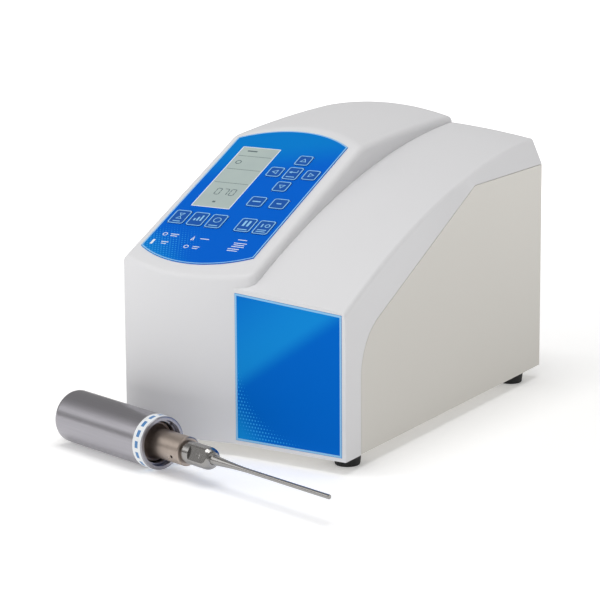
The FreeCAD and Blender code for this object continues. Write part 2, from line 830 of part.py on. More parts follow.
def fan_screws():
    shapes = []
    for x, z in fan_holes():
        shank = rod(2.0, sheet + 10, V(x, panel_inner - 8.4, z), Y_AXIS)
        head = rod(3.6, 2.2, V(x, half_depth + 1.6, z), Y_AXIS)
        slot = block(x - 0.5, x + 0.5, half_depth + 2.8, half_depth + 6, z - 4, z + 4)
        shapes.append(shank.fuse(head).cut(slot))
    return Part.makeCompound(shapes)


# Power inlet, fuse drawer and rocker switch

def chamfered_socket(depth0, depth1, grow):
    """The inlet's opening: a rectangle whose two upper corners are cut off."""
    w = socket_width / 2 + grow
    h = socket_height / 2 + grow
    z = inlet_z + socket_rise
    c = 4.0
    corners = [V(-w, 0, -h), V(w, 0, -h), V(w, 0, h - c), V(w - c, 0, h), V(-w + c, 0, h), V(-w, 0, h - c)]
    corners = [V(inlet_x, depth0, z) + p for p in corners]
    return Part.Face(Part.makePolygon(corners + corners[:1])).extrude(V(0, depth1 - depth0, 0))


def drawer_z():
    return inlet_z - drawer_drop


def power_inlet():
    face = half_depth + inlet_flange
    flange = block(inlet_x - inlet_width / 2, inlet_x + inlet_width / 2, half_depth, face,
                   inlet_z - inlet_height / 2, inlet_z + inlet_height / 2)
    rim = [e for e in flange.Edges if abs(e.tangentAt(e.FirstParameter).y) > 0.9]
    flange = flange.makeFillet(2.0, rim)
    body = block(inlet_x - inlet_width / 2 + 2, inlet_x + inlet_width / 2 - 2,
                 half_depth - inlet_body_depth, half_depth + 0.1,
                 inlet_z - inlet_height / 2 + 2, inlet_z + inlet_height / 2 - 2)
    body = flange.fuse(body)
    body = body.cut(chamfered_socket(face - socket_depth, face + 1, 0.0)).cut(inlet_pins())
    z = drawer_z()
    g = 0.3
    pocket = block(inlet_x - drawer_width / 2 - g, inlet_x + drawer_width / 2 + g,
                   face - drawer_length - g, face + 1, z - drawer_height / 2 - g, z + drawer_height / 2 + g)
    return body.cut(pocket).removeSplitter()


def inlet_pins():
    face = half_depth + inlet_flange
    z = inlet_z + socket_rise
    shapes = []
    for dx, dz in ((-7.0, -2.0), (0.0, 2.6), (7.0, -2.0)):
        pin = block(inlet_x + dx - 1.0, inlet_x + dx + 1.0, face - socket_depth - 8, face - 4,
                    z + dz - 2.0, z + dz + 2.0)
        shapes.append(pin)
    return Part.makeCompound(shapes)


def fuse_drawer():
    face = half_depth + inlet_flange
    z = drawer_z()
    front = block(inlet_x - drawer_width / 2, inlet_x + drawer_width / 2, face - 2.5, face + 0.6,
                  z - drawer_height / 2, z + drawer_height / 2)
    tray = block(inlet_x - drawer_width / 2 + 1, inlet_x + drawer_width / 2 - 1,
                 face - drawer_length, face - 2,
                 z - drawer_height / 2 + 0.5, z + drawer_height / 2 - 0.5)
    trough = block(inlet_x - drawer_width / 2 + 2.2, inlet_x + drawer_width / 2 - 2.2,
                   face - drawer_length + 1.2, face - 3.4, z - 1.2, z + drawer_height)
    notch = block(inlet_x - 4, inlet_x + 4, face - 1.0, face + 2,
                  z + drawer_height / 2 - 1.6, z + drawer_height)
    return front.fuse(tray).cut(trough).cut(notch).removeSplitter()


def fuses():
    face = half_depth + inlet_flange
    shapes = []
    for y in (face - 15.6, face - 8.8):
        glass = rod(2.2, 16.0, V(inlet_x - 8.0, y, drawer_z() + 1.0), X_AXIS)
        shapes.append(glass)
    return Part.makeCompound(shapes)


def switch_bezel():
    face = half_depth + 2.0
    w = switch_width / 2
    h = switch_tall / 2
    flange = block(switch_x - w, switch_x + w, half_depth, face, switch_z - h, switch_z + h)
    rim = [e for e in flange.Edges if abs(e.tangentAt(e.FirstParameter).y) > 0.9]
    flange = flange.makeFillet(1.5, rim)
    inset = switch_body_inset
    body = block(switch_x - w + inset, switch_x + w - inset, half_depth - 16, half_depth + 0.1,
                 switch_z - h + inset, switch_z + h - inset)
    bezel = flange.fuse(body)
    side = rocker_width / 2 + rocker_gap_side
    end = rocker_length / 2 + rocker_gap_end
    well = block(switch_x - side, switch_x + side, half_depth - 10, face + 1, switch_z - end, switch_z + end)
    reach = w - inset - 0.4
    pivots = rod(pivot_radius + shaft_clearance, 2 * reach,
                 V(switch_x - reach, rocker_axis_y, switch_z), X_AXIS)
    return bezel.cut(well).cut(pivots).removeSplitter()


rocker_axis_y = half_depth - 3.0


def power_rocker():
    """A shallow V seen from the side, standing at its off position on two short trunnions."""
    half = rocker_length / 2
    top = half_depth + 3.2
    rise = half * math.tan(math.radians(rocker_tilt))
    y_low = rocker_axis_y - 4.5
    corners = [V(0, y_low, -half * 0.55), V(0, top - 1.2, -half + 0.4), V(0, top + 0.8, -half + 1.4)]
    corners += [V(0, top - rise, 0), V(0, top + 0.8, half - 1.4), V(0, top - 1.2, half - 0.4)]
    corners += [V(0, y_low, half * 0.55)]
    face = Part.Face(Part.makePolygon(corners + corners[:1]))
    paddle = face.extrude(V(rocker_width, 0, 0))
    paddle.translate(V(switch_x - rocker_width / 2, 0, switch_z))
    reach = switch_width / 2 - switch_body_inset - 0.55
    trunnion = rod(pivot_radius, 2 * reach, V(switch_x - reach, rocker_axis_y, switch_z), X_AXIS)
    rocker = paddle.fuse(trunnion)
    rocker.rotate(V(switch_x, rocker_axis_y, switch_z), X_AXIS, rocker_tilt)
    return rocker.removeSplitter()


# Converter port and remote connector on the rear panel

def converter_port():
    flange = block(rf_x - 12.7, rf_x + 12.7, half_depth, half_depth + 2.0, rf_z - 12.7, rf_z + 12.7)
    rim = [e for e in flange.Edges if abs(e.tangentAt(e.FirstParameter).y) > 0.9]
    flange = flange.makeFillet(1.5, rim)
    barrel_shape = rod(rf_barrel_radius, rf_barrel_length + 14, V(rf_x, half_depth - 14, rf_z), Y_AXIS)
    port = flange.fuse(barrel_shape)
    port = port.cut(rod(rf_barrel_radius - 1.6, 10, V(rf_x, half_depth + rf_barrel_length - 9, rf_z), Y_AXIS))
    for lug in (0, 180):
        pin = rod(1.0, rf_barrel_radius + 1.6, V(rf_x, half_depth + rf_barrel_length - 3, rf_z), X_AXIS)
        pin.rotate(V(rf_x, 0, rf_z), Y_AXIS, lug)
        port = port.fuse(pin.cut(rod(rf_barrel_radius - 0.8, 60, V(rf_x, half_depth - 20, rf_z), Y_AXIS)))
    core = rod(4.0, 6.0, V(rf_x, half_depth + rf_barrel_length - 9.2, rf_z), Y_AXIS)
    core = core.cut(rod(1.2, 5.0, V(rf_x, half_depth + rf_barrel_length - 7, rf_z), Y_AXIS))
    return port.fuse(core).removeSplitter()


def port_screws():
    shapes = []
    for dx in (-9.2, 9.2):
        for dz in (-9.2, 9.2):
            head = Part.makeCone(2.4, 1.8, 1.2, V(rf_x + dx, half_depth + 2.0, rf_z + dz), Y_AXIS)
            slot = block(rf_x + dx - 3, rf_x + dx + 3, half_depth + 2.7, half_depth + 4,
                         rf_z + dz - 0.3, rf_z + dz + 0.3)
            shapes.append(head.cut(slot))
    return Part.makeCompound(shapes)


def remote_connector():
    flange = rounded_plate(31, 12.6, 2.0, 1.0, 0, 0, 0)
    shell = rounded_plate(17, 8.4, 2.6, 7.0, 0, 0, 0)
    mouth = rounded_plate(15.8, 7.2, 2.2, 7.0, 0, 0, 1.0)
    back = block(-9, 9, -4.7, 4.7, -10, 0.2)
    part = fused([flange, shell, back]).cut(mouth)
    insert = rounded_plate(15.4, 6.8, 2.0, 3.4, 0, 0, 0.5)
    for row, count in ((1.4, 5), (-1.4, 4)):
        for number in range(count):
            x = (number - (count - 1) / 2) * 2.76
            insert = insert.cut(rod(0.6, 4, V(x, row, 1.5), Z_AXIS))
    for side in (-12.5, 12.5):
        part = part.fuse(hexagon(side))
    part = part.fuse(insert).removeSplitter()
    part.rotate(V(0, 0, 0), X_AXIS, -90)
    part.translate(V(io_x, half_depth, io_z))
    return part


def hexagon(x):
    corners = [V(x + 2.8 * math.cos(math.radians(60 * i)), 2.8 * math.sin(math.radians(60 * i)), 0.5)
               for i in range(6)]
    post = Part.Face(Part.makePolygon(corners + corners[:1])).extrude(V(0, 0, 5))
    return post.cut(rod(1.2, 5, V(x, 0, 1.5), Z_AXIS))


# Electronics inside the case

main_board_z = foot_height + sheet + 8.0
board_left = 22.5 - half_width
board_right = half_width - 52.5
board_front = 65.5 - half_depth
board_rear = half_depth - 57.5
standoff_inset = 6.0
standoff_places = [(x, y) for x in (board_left + standoff_inset, board_right - standoff_inset)
                   for y in (board_front + standoff_inset, 0.0, board_rear - standoff_inset)]


def main_board():
    board = block(board_left, board_right, board_front, board_rear, main_board_z,
                  main_board_z + board_thickness)
    for x, y in standoff_places:
        board = board.cut(rod(1.7, 4, V(x, y, main_board_z - 1), Z_AXIS))
    return board


def standoffs():
    shapes = [tube(3.2, 1.3, main_board_z - foot_height - sheet, V(x, y, foot_height + sheet), Z_AXIS)
              for x, y in standoff_places]
    return Part.makeCompound(shapes)


def standoff_screws():
    top = main_board_z + board_thickness
    shapes = []
    for x, y in standoff_places:
        shank = rod(small_screw_radius - 0.05, 6.5, V(x, y, top - 6.5), Z_AXIS)
        head = rod(small_screw_head_radius, small_screw_head, V(x, y, top), Z_AXIS)
        slot = block(x - 3, x + 3, y - 0.35, y + 0.35, top + 1, top + 3)
        shapes.append(shank.fuse(head).cut(slot))
    return Part.makeCompound(shapes)


fin_count = 10
fin_thickness = 1.8
fin_height = 40.0


def heat_sink():
    """An extruded comb: a base plate with fins standing on it, along the air flow."""
    base_z = main_board_z + board_thickness
    left = board_left + 18.0
    right = board_right - 46.0
    front = board_rear - 90.0
    rear = board_rear - 10.0
    sink = block(left, right, front, rear, base_z, base_z + 5)
    pitch = (right - left - fin_thickness) / (fin_count - 1)
    fins = [block(left + pitch * number, left + pitch * number + fin_thickness, front, rear,
                  base_z + 4, base_z + fin_height) for number in range(fin_count)]
    return fused([sink] + fins)


def capacitors():
    base_z = main_board_z + board_thickness
    shapes = []
    for x, y in [(board_left + reach, board_front + depth) for reach in (16.0, 39.0) for depth in (32.0, 60.0)]:
        can = rod(10.0, 34.0, V(x, y, base_z), Z_AXIS)
        top = [e for e in can.Edges if e.CenterOfMass.z > base_z + 33 and len(e.Vertexes) == 1]
        shapes.append(can.makeFillet(1.5, top))
    return Part.makeCompound(shapes)


core_leg = 12.0
core_window = 22.0
core_width = 2 * core_leg + core_window
core_deep = 30.0
core_high = 40.0
core_x = board_right - 48.0
core_y = board_front + 42.0


def output_transformer():
    """A closed ferrite core standing on a plastic foot, with a window through it from front to rear."""
    foot_z = main_board_z + board_thickness
    base_z = foot_z + 3.0
    core = block(core_x, core_x + core_width, core_y, core_y + core_deep, base_z, base_z + core_high)
    window = block(core_x + core_leg, core_x + core_leg + core_window, core_y - 1, core_y + core_deep + 1,
                   base_z + core_leg, base_z + core_high - core_leg)
    foot = block(core_x + 3, core_x + core_width - 3, core_y + 3, core_y + core_deep - 3,
                 foot_z, base_z + 0.5)
    return fused([core.cut(window), foot])


def transformer_windings():
    """Two coils, one round each upright leg of the core."""
    low = main_board_z + board_thickness + 3.0 + core_leg + 0.5
    high = low + core_high - 2 * core_leg - 1.0
    build = 7.0
    coils = []
    for x in (core_x, core_x + core_leg + core_window):
        coil = block(x - build, x + core_leg + build, core_y - build, core_y + core_deep + build, low, high)
        uprights = [e for e in coil.Edges if abs(e.tangentAt(e.FirstParameter).z) > 0.9]
        coil = coil.makeFillet(build * 0.8, uprights)
        coils.append(coil.cut(block(x, x + core_leg, core_y, core_y + core_deep, low - 1, high + 1)))
    return Part.makeCompound(coils)


def mains_filter():
    right = half_width - 4.5
    left = right - 32.0
    rear = half_depth - 35.5
    front = rear - 40.0
    shell = block(left, right, front, rear, foot_height + sheet, foot_height + sheet + 26)
    edges = [e for e in shell.Edges if abs(e.tangentAt(e.FirstParameter).z) > 0.9]
    shell = shell.makeFillet(2.0, edges)
    tabs = [block(left + 12, left + 20, y, y + 8, foot_height + sheet + 10, foot_height + sheet + 11)
            for y in (front - 7, rear - 1)]
    return fused([shell] + tabs)


# Handset: built along +X from the front of the converter, then laid on the bench

handset_place = FreeCAD.Placement(V(handset_x, handset_y, converter_radius),
                                  FreeCAD.Rotation(Z_AXIS, handset_turn))


def lay_down(shape):
    moved = shape.copy()
    moved.Placement = handset_place.multiply(moved.Placement)
    return moved


def bored(solid, radius, start, end):
    return solid.cut(rod(radius, end - start, V(start, 0, 0), X_AXIS))


def converter_case():
    rear = -converter_length
    case = turned([(rear, converter_radius), (0, converter_radius)])
    case = round_edge(case, rear, converter_radius, rear_edge_radius)
    case = round_edge(case, 0, converter_radius, 1.0)
    case = bored(case, converter_bore, rear + 4.0, 1)
    case = case.cut(rod(rear_socket_radius + 0.2, 10, V(rear - 1, 0, 0), X_AXIS))
    return lay_down(case.cut(band_ring(1.0)))


def round_edge(solid, station, radius, size):
    rim = [e for e in solid.Edges
           if abs(e.CenterOfMass.x - station) < 0.01 and len(e.Vertexes) == 1
           and abs(e.BoundBox.YLength - 2 * radius) < 0.5]
    return solid.makeFillet(size, rim)


def front_ring():
    outer = converter_bore - 0.05
    ring = turned([(front_ring_rear, outer), (front_ring_front, outer)])
    ring = round_edge(ring, front_ring_front, outer, 0.4)
    ring = bored(ring, front_ring_bore, front_ring_rear - 1, front_ring_front + 1)
    for turn in (0, 90, 180, 270):
        slot = block(front_ring_front - 1.6, front_ring_front + 1,
                     front_ring_bore - 1, converter_bore + 1, -1.2, 1.2)
        slot.rotate(V(0, 0, 0), X_AXIS, turn + 45)
        ring = ring.cut(slot)
    return lay_down(ring)


def band_ring(proud):
    """The label band in its shallow groove round the case, or the cutter for that groove."""
    return tube(converter_radius + proud, converter_radius - label_band_thickness,
                label_band_front - label_band_rear, V(label_band_rear, 0, 0), X_AXIS)


def converter_label():
    return lay_down(band_ring(0.0))


def rear_socket():
    rear = -converter_length
    barrel_shape = turned([(rear - 9.0, 6.4), (rear - 1.0, 6.4), (rear - 1.0, 8.6), (rear, 8.6),
                           (rear, rear_socket_radius), (rear + 7.0, rear_socket_radius)])
    socket = bored(barrel_shape, 5.2, rear - 10, rear - 2.5)
    core = tube(2.6, 0.9, 6.0, V(rear - 8.0, 0, 0), X_AXIS)
    return lay_down(socket.fuse(core).removeSplitter())


stack_rear = flange_front - flange_thickness


def front_driver():
    """The titanium front mass: a flange held by the nodal ring, a hollow flare and the driver."""
    flare_start = flange_front + 1.0
    points = [(stack_rear, stack_radius + 0.4), (stack_rear, flange_radius), (flange_front, flange_radius)]
    steps = 7
    for number in range(steps + 1):
        turn = math.radians(90.0 * number / steps)
        reach = flange_radius - 1.0 - driver_radius
        points.append((flare_start + flare_radius * (1 - math.cos(turn)),
                       driver_radius + reach * (1 - math.sin(turn))))
    points += [(driver_front - 0.8, driver_radius), (driver_front, driver_radius - 0.8)]
    driver = turned(points)
    driver = bored(driver, stack_bolt_radius, stack_rear - 1, stack_rear + 14)
    driver = bored(driver, stud_bore_radius, driver_front - stud_length + stud_in_horn - 1, driver_front + 1)
    side = V(0, math.cos(math.radians(driver_hole_turn)), math.sin(math.radians(driver_hole_turn)))
    hole = rod(driver_hole_radius, 6, V(driver_hole_station, 0, 0) + side * (driver_radius - 4), side)
    return lay_down(driver.cut(hole))


def nodal_ring():
    seat = flange_front - flange_thickness / 2
    ring = Part.makeTorus(flange_radius + nodal_ring_radius, nodal_ring_radius, V(seat, 0, 0), X_AXIS)
    return lay_down(ring)


def piezo_discs():
    pitch = disc_thickness + electrode_thickness
    shapes = []
    for number in range(disc_count):
        front = stack_rear - number * pitch
        shapes.append(lay_down(tube(stack_radius, stack_bore + 0.4, disc_thickness,
                                    V(front - disc_thickness, 0, 0), X_AXIS)))
    return Part.makeCompound(shapes)


def electrodes():
    pitch = disc_thickness + electrode_thickness
    shapes = []
    for number in range(disc_count):
        rear = stack_rear - number * pitch - disc_thickness - electrode_thickness
        plate = tube(stack_radius, stack_bore + 0.4, electrode_thickness, V(rear, 0, 0), X_AXIS)
        tab = block(rear, rear + electrode_thickness, -2, 2, stack_radius - 1, stack_radius + 2.6)
        tab.rotate(V(0, 0, 0), X_AXIS, 180 * (number % 2))
        shapes.append(lay_down(plate.fuse(tab).removeSplitter()))
    return Part.makeCompound(shapes)


back_mass_front = stack_rear - disc_count * (disc_thickness + electrode_thickness)


def back_mass():
    rear = back_mass_front - back_mass_length
    mass = turned([(rear, stack_radius - 1), (rear + 1, stack_radius), (back_mass_front, stack_radius)])
    return lay_down(bored(mass, stack_bore, rear - 1, back_mass_front + 1))


def stack_bolt():
    rear = back_mass_front - back_mass_length
    bolt = turned([(rear - 6.0, 7.4), (rear - 5.4, 8.0), (rear, 8.0), (rear, stack_bolt_radius - 0.05),
                   (stack_rear + 12.0, stack_bolt_radius - 0.05)])
    corners = [V(rear - 7, 4.0 * math.cos(math.radians(60 * i)), 4.0 * math.sin(math.radians(60 * i)))
               for i in range(6)]
    key_hole = Part.Face(Part.makePolygon(corners + corners[:1])).extrude(V(5, 0, 0))
    return lay_down(bolt.cut(key_hole))


def horn():
    """The stepped horn: a body whose two wrench flats run out at its shoulder, round a tapering core."""
    seat = driver_front + horn_seat_gap
    body_points = [(seat, horn_body_radius - 0.5), (seat + 0.5, horn_body_radius),
                   (horn_body_end, horn_body_radius)]
    for number in range(1, 6):
        turn = math.radians(18.0 * number)
        body_points.append((horn_body_end + (horn_shoulder_end - horn_body_end) * math.sin(turn),
                            horn_shoulder_radius + (horn_body_radius - horn_shoulder_radius) * math.cos(turn)))
    body = turned(body_points)
    for side in (-1, 1):
        inner = side * horn_flats / 2
        outer = side * (horn_body_radius + 2)
        flat = block(horn_flats_start, horn_shoulder_end + 1, min(inner, outer), max(inner, outer), -12, 12)
        flat.rotate(V(0, 0, 0), X_AXIS, horn_flats_turn)
        body = body.cut(flat)
    core_points = []
    steps = 14
    for number in range(steps + 1):
        share = number / steps
        station = horn_core_start + share * (taper_end - horn_core_start)
        swell = max(0.0, 1.0 - (station - horn_core_start) / horn_swell_length)
        core_points.append((station, tip_radius + taper_swell * (1 - share) ** 1.6
                            + horn_core_swell * swell ** 2))
    core_points += [(tip_end - 0.3, tip_radius), (tip_end, tip_radius - 0.3)]
    shape = fused([body, turned(core_points)])
    shape = bored(shape, stud_bore_radius, driver_front - 1, driver_front + stud_in_horn + 0.5)
    return lay_down(shape)


def horn_stud():
    rear = driver_front - (stud_length - stud_in_horn)
    front = driver_front + stud_in_horn
    stud = turned([(rear, stud_radius - 0.8), (rear + 0.8, stud_radius),
                   (front - 0.8, stud_radius), (front, stud_radius - 0.8)])
    return lay_down(stud)


os.makedirs("parts", exist_ok=True)
save("top_cover", cover())
save("chassis", chassis())
save("rear_panel", rear_panel())
save("front_label", label_plate(0.0, label_recess, label_thickness - label_recess))
save("keypad_overlay", keypad_overlay())
save("lcd_window", lcd_window())
save("lcd_module", lcd_module())
save("keypad_board", keypad_board())
save("dome_switches", dome_switches())
save("board_screws", board_screws())
for key_name in key_layout:
    save(key_name, key(key_name))
save("feet", feet())
save("foot_screws", foot_screws())
save("cover_screws", cover_screws())
save("fan_frame", fan_frame())
save("fan_rotor", fan_rotor())
save("fan_guard", fan_guard())
save("fan_screws", fan_screws())
save("power_inlet", power_inlet())
save("inlet_pins", inlet_pins())
save("fuse_drawer", fuse_drawer())
save("fuses", fuses())
save("switch_bezel", switch_bezel())
save("power_rocker", power_rocker())
save("converter_port", converter_port())
save("port_screws", port_screws())
save("remote_connector", remote_connector())
save("main_board", main_board())
save("standoffs", standoffs())
save("standoff_screws", standoff_screws())
save("heat_sink", heat_sink())
save("capacitors", capacitors())
save("output_transformer", output_transformer())
save("transformer_windings", transformer_windings())
save("mains_filter", mains_filter())
save("converter_case", converter_case())
save("front_ring", front_ring())
save("converter_label", converter_label())
save("rear_socket", rear_socket())
save("front_driver", front_driver())
save("nodal_ring", nodal_ring())
save("piezo_discs", piezo_discs())
save("electrodes", electrodes())
save("back_mass", back_mass())
save("stack_bolt", stack_bolt())
save("horn", horn())
save("horn_stud", horn_stud())
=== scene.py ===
import bmesh
import bpy
import math
from mathutils import Matrix, Vector


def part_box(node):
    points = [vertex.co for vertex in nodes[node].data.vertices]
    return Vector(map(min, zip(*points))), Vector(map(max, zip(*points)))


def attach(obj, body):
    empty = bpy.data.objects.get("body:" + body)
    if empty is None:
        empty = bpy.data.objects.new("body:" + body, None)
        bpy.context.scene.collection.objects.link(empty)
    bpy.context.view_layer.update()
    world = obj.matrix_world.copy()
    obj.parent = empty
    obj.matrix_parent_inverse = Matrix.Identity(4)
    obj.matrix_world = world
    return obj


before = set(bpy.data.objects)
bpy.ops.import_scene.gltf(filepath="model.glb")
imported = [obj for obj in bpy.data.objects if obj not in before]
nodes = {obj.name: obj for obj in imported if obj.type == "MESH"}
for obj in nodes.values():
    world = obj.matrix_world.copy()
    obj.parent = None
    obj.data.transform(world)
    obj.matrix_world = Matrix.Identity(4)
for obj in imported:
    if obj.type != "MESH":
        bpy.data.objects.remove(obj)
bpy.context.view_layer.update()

# Moulded cover
# The top cover is one injection moulding in light grey ABS with a fine spark-eroded texture. It drops
# over the steel chassis and is held by three screws through the rear panel.

MM = 0.001
DRIFT_MM = 71.43


def linear(hex_colour):
    """An sRGB hex colour as the linear colour that a shader takes."""
    channels = [int(hex_colour[i:i + 2], 16) / 255 for i in (1, 3, 5)]
    return [c / 12.92 if c <= 0.04045 else ((c + 0.055) / 1.055) ** 2.4 for c in channels] + [1.0]


def shaded(colour, share):
    """A linear colour made darker: share is what is left of it."""
    return [channel * share for channel in colour[:3]] + [1.0]


def scale_for(size_mm):
    """The noise scale whose marks are this many millimetres across."""
    return 1 / (size_mm * MM)


def new_material(name):
    """An empty node material with its Principled shader, as (material, tree, shader)."""
    material = bpy.data.materials.new(name)
    material.use_nodes = True
    tree = material.node_tree
    return material, tree, tree.nodes["Principled BSDF"]


def fill_inputs(tree, node, inputs):
    """Sets a node's inputs, and links those whose value is another node's output."""
    for key, value in inputs.items():
        if isinstance(value, bpy.types.NodeSocket):
            tree.links.new(value, node.inputs[key])
        else:
            node.inputs[key].default_value = value


def add_node(tree, kind, inputs=(), output=0, **settings):
    """Adds a node with its settings, fills its inputs (named, or a list in order), returns an output."""
    node = tree.nodes.new("ShaderNode" + kind)
    for key, value in settings.items():
        setattr(node, key, value)
    fill_inputs(tree, node, inputs if isinstance(inputs, dict) else dict(enumerate(inputs)))
    return node.outputs[output]


def dress(name, material):
    """Gives a CAD node its finish, in every slot it has."""
    mesh = nodes[name].data
    mesh.materials.clear()
    mesh.materials.append(material)


def moulded_plastic(name, colour, grain_mm, roughness, mottle=0.02, bump_mm=0.02):
    """A moulding: one body colour with a faint drift, and the texture of an eroded tool."""
    material, tree, shader = new_material(name)
    place = add_node(tree, "TexCoord", output="Object")
    drift = add_node(tree, "TexNoise", {"Vector": place, "Scale": scale_for(DRIFT_MM), "Detail": 2.0})
    base = linear(colour)
    tint = add_node(tree, "Mix", {"Factor": drift, "A": base, "B": shaded(base, 1 - mottle)}, "Result",
                    data_type="RGBA")
    grain = add_node(tree, "TexNoise", {"Vector": place, "Scale": scale_for(grain_mm), "Detail": 3.0,
                                        "Roughness": 0.6})
    bump = add_node(tree, "Bump", {"Strength": 0.35, "Distance": bump_mm * MM, "Height": grain})
    rough = add_node(tree, "MapRange", {"Value": grain, "To Min": roughness - 0.06,
                                        "To Max": roughness + 0.06})
    fill_inputs(tree, shader, {"Base Color": tint, "Normal": bump, "Roughness": rough, "IOR": 1.5})
    return material


# The eroded texture scatters every highlight, so the cover looks soft and matt. Its real grain is about
# 0.2 mm wide, and it is drawn at 1.1 mm so that it shows.
cover_grey = moulded_plastic("Moulded ABS light grey", "#E4E4E6", grain_mm=1.1, roughness=0.48)
dress("top_cover", cover_grey)


# Steel chassis and rear panel
# The tray is folded from 1.5 mm sheet steel and powder-coated in a warm light grey, a little duller than
# the moulding, and the rear panel is screwed into it. The coat has a fine orange-peel surface.

# Orange peel makes the sheen waver where light grazes the sheet. Its real cells are under a millimetre
# wide, and they are drawn at 1.6 mm so that they show.
chassis_grey = moulded_plastic("Powder coat warm grey", "#D9D6CF", grain_mm=1.6, roughness=0.42,
                               mottle=0.015, bump_mm=0.03)
for name in ("chassis", "rear_panel"):
    dress(name, chassis_grey)


# Front label
# A printed polycarbonate film in a shallow recess of the front: a blue ground with a lighter diagonal
# field, rows of small lighter dots towards its lower left, and a pale border where the print stops.

LABEL_DOT_PITCH_MM = 2.7
LABEL_DOT_RADIUS = 0.27
LABEL_DIAGONAL = 0.7
DOT_BAND_CENTRE = (60.0, 62.0)
DOT_BAND_RADIUS = 66.0
INK = 0.03
LABEL_LINE = 1.5
LABEL_CORNERS = [(0.2, 0.2), (95.0, 0.2), (95.0, 108.4), (0.2, 114.4)]
LABEL_PLACE = (0.003994, -0.162133, 0.013)


def measure(tree, place, origin, direction):
    """How far a point lies from an origin along a direction, in millimetres."""
    offset = add_node(tree, "VectorMath", [place, origin], operation="SUBTRACT")
    along = add_node(tree, "VectorMath", [offset, direction], "Value", operation="DOT_PRODUCT")
    return add_node(tree, "Math", [along, MM], operation="DIVIDE")


def distance(tree, across, upward, centre):
    """How far a point of the film lies from a centre, given as (across, upward)."""
    squares = []
    for value, middle in zip((across, upward), centre):
        off = add_node(tree, "Math", [value, middle], operation="SUBTRACT")
        squares.append(add_node(tree, "Math", [off, off], operation="MULTIPLY"))
    total = add_node(tree, "Math", squares, operation="ADD")
    return add_node(tree, "Math", [total], operation="SQRT")


def skewed(tree, across, upward, slope):
    """The height of a point above a line that rises to the right by this slope."""
    rise = add_node(tree, "Math", [across, slope], operation="MULTIPLY")
    return add_node(tree, "Math", [upward, rise], operation="SUBTRACT")


def inked_share(tree, *fades):
    """How much ink lies on a point, from fades of (value, where it is bare, where it is full)."""
    share = 1.0
    for value, bare, full in fades:
        fade = add_node(tree, "MapRange", {"Value": value, "From Min": bare, "From Max": full},
                        interpolation_type="SMOOTHSTEP")
        share = add_node(tree, "Math", [share, fade], operation="MULTIPLY")
    return share


def dot_rows(tree, across, upward, pitch, radius):
    """A staggered raster of round dots: 1 inside a dot and 0 between them. radius may vary."""
    row = add_node(tree, "Math", [upward, pitch], operation="DIVIDE")
    whole = add_node(tree, "Math", [row], operation="FLOOR")
    odd = add_node(tree, "Math", [whole, 2.0], operation="MODULO")
    stagger = add_node(tree, "Math", [odd, 0.5], operation="MULTIPLY")
    column = add_node(tree, "Math", [across, pitch], operation="DIVIDE")
    column = add_node(tree, "Math", [column, stagger], operation="ADD")
    within = [add_node(tree, "Math", [count], operation="FRACT") for count in (column, row)]
    far = distance(tree, *within, (0.5, 0.5))
    return add_node(tree, "Math", [far, radius], operation="LESS_THAN")


def printed_film(name, origin, across_axis, up_axis, field, dots, inks):
    """A printed film; field and dots turn (across, upward) into the shares of the other two inks."""
    material, tree, shader = new_material(name)
    place = add_node(tree, "TexCoord", output="Object")
    across = measure(tree, place, origin, across_axis)
    upward = measure(tree, place, origin, up_axis)
    base, light, dot = [linear(ink) for ink in inks]
    ground = add_node(tree, "Mix", {"Factor": field(tree, across, upward), "A": base, "B": light},
                      "Result", data_type="RGBA")
    printed = add_node(tree, "Mix", {"Factor": dots(tree, across, upward), "A": ground, "B": dot},
                       "Result", data_type="RGBA")
    grain = add_node(tree, "TexNoise", {"Vector": place, "Scale": scale_for(0.6667)})
    bump = add_node(tree, "Bump", {"Strength": 0.15, "Distance": 0.01 * MM, "Height": grain})
    fill_inputs(tree, shader, {"Base Color": printed, "Normal": bump, "Roughness": 0.45,
                               "Specular IOR Level": 0.02})
    return material


def label_field(tree, across, upward):
    """The lighter ground above a diagonal, which fades upwards, and a glow in the lower left corner."""
    height = skewed(tree, across, upward, LABEL_DIAGONAL)
    upper = inked_share(tree, (height, 34.0, 52.0), (height, 150.0, 48.0))
    corner = inked_share(tree, (skewed(tree, across, upward, -1.0), 38.0, 8.0))
    return add_node(tree, "Math", [upper, corner], operation="MAXIMUM")


def label_dots(tree, across, upward):
    """Dots that shrink away from a band curving from the left edge down to the bottom centre."""
    far = distance(tree, across, upward, DOT_BAND_CENTRE)
    off_radius = add_node(tree, "Math", [far, DOT_BAND_RADIUS], operation="SUBTRACT")
    off_band = add_node(tree, "Math", [off_radius], operation="ABSOLUTE")
    near = inked_share(tree, (off_band, 15.0, 2.0))
    size = add_node(tree, "Math", [near, LABEL_DOT_RADIUS], operation="MULTIPLY")
    low = inked_share(tree, (upward, 74.0, 46.0), (across, 66.0, 40.0))
    dots = dot_rows(tree, across, upward, LABEL_DOT_PITCH_MM, size)
    return add_node(tree, "Math", [dots, low], operation="MULTIPLY")


# A second-surface print under satin film: the blue is deep and even and takes almost no highlight. The
# film's real grain is a few hundredths of a millimetre, drawn at 0.7 mm. The first ink is the ground.
label_low, label_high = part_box("front_label")
LABEL_AXIS = Vector((label_high.x - label_low.x, -0.0053, 0)).normalized()
label_film = printed_film("Printed polycarbonate film blue", label_low, LABEL_AXIS, (0, 0, 1),
                          label_field, label_dots, ("#0068CE", "#128CDD", "#2F9FEA"))
dress("front_label", label_film)


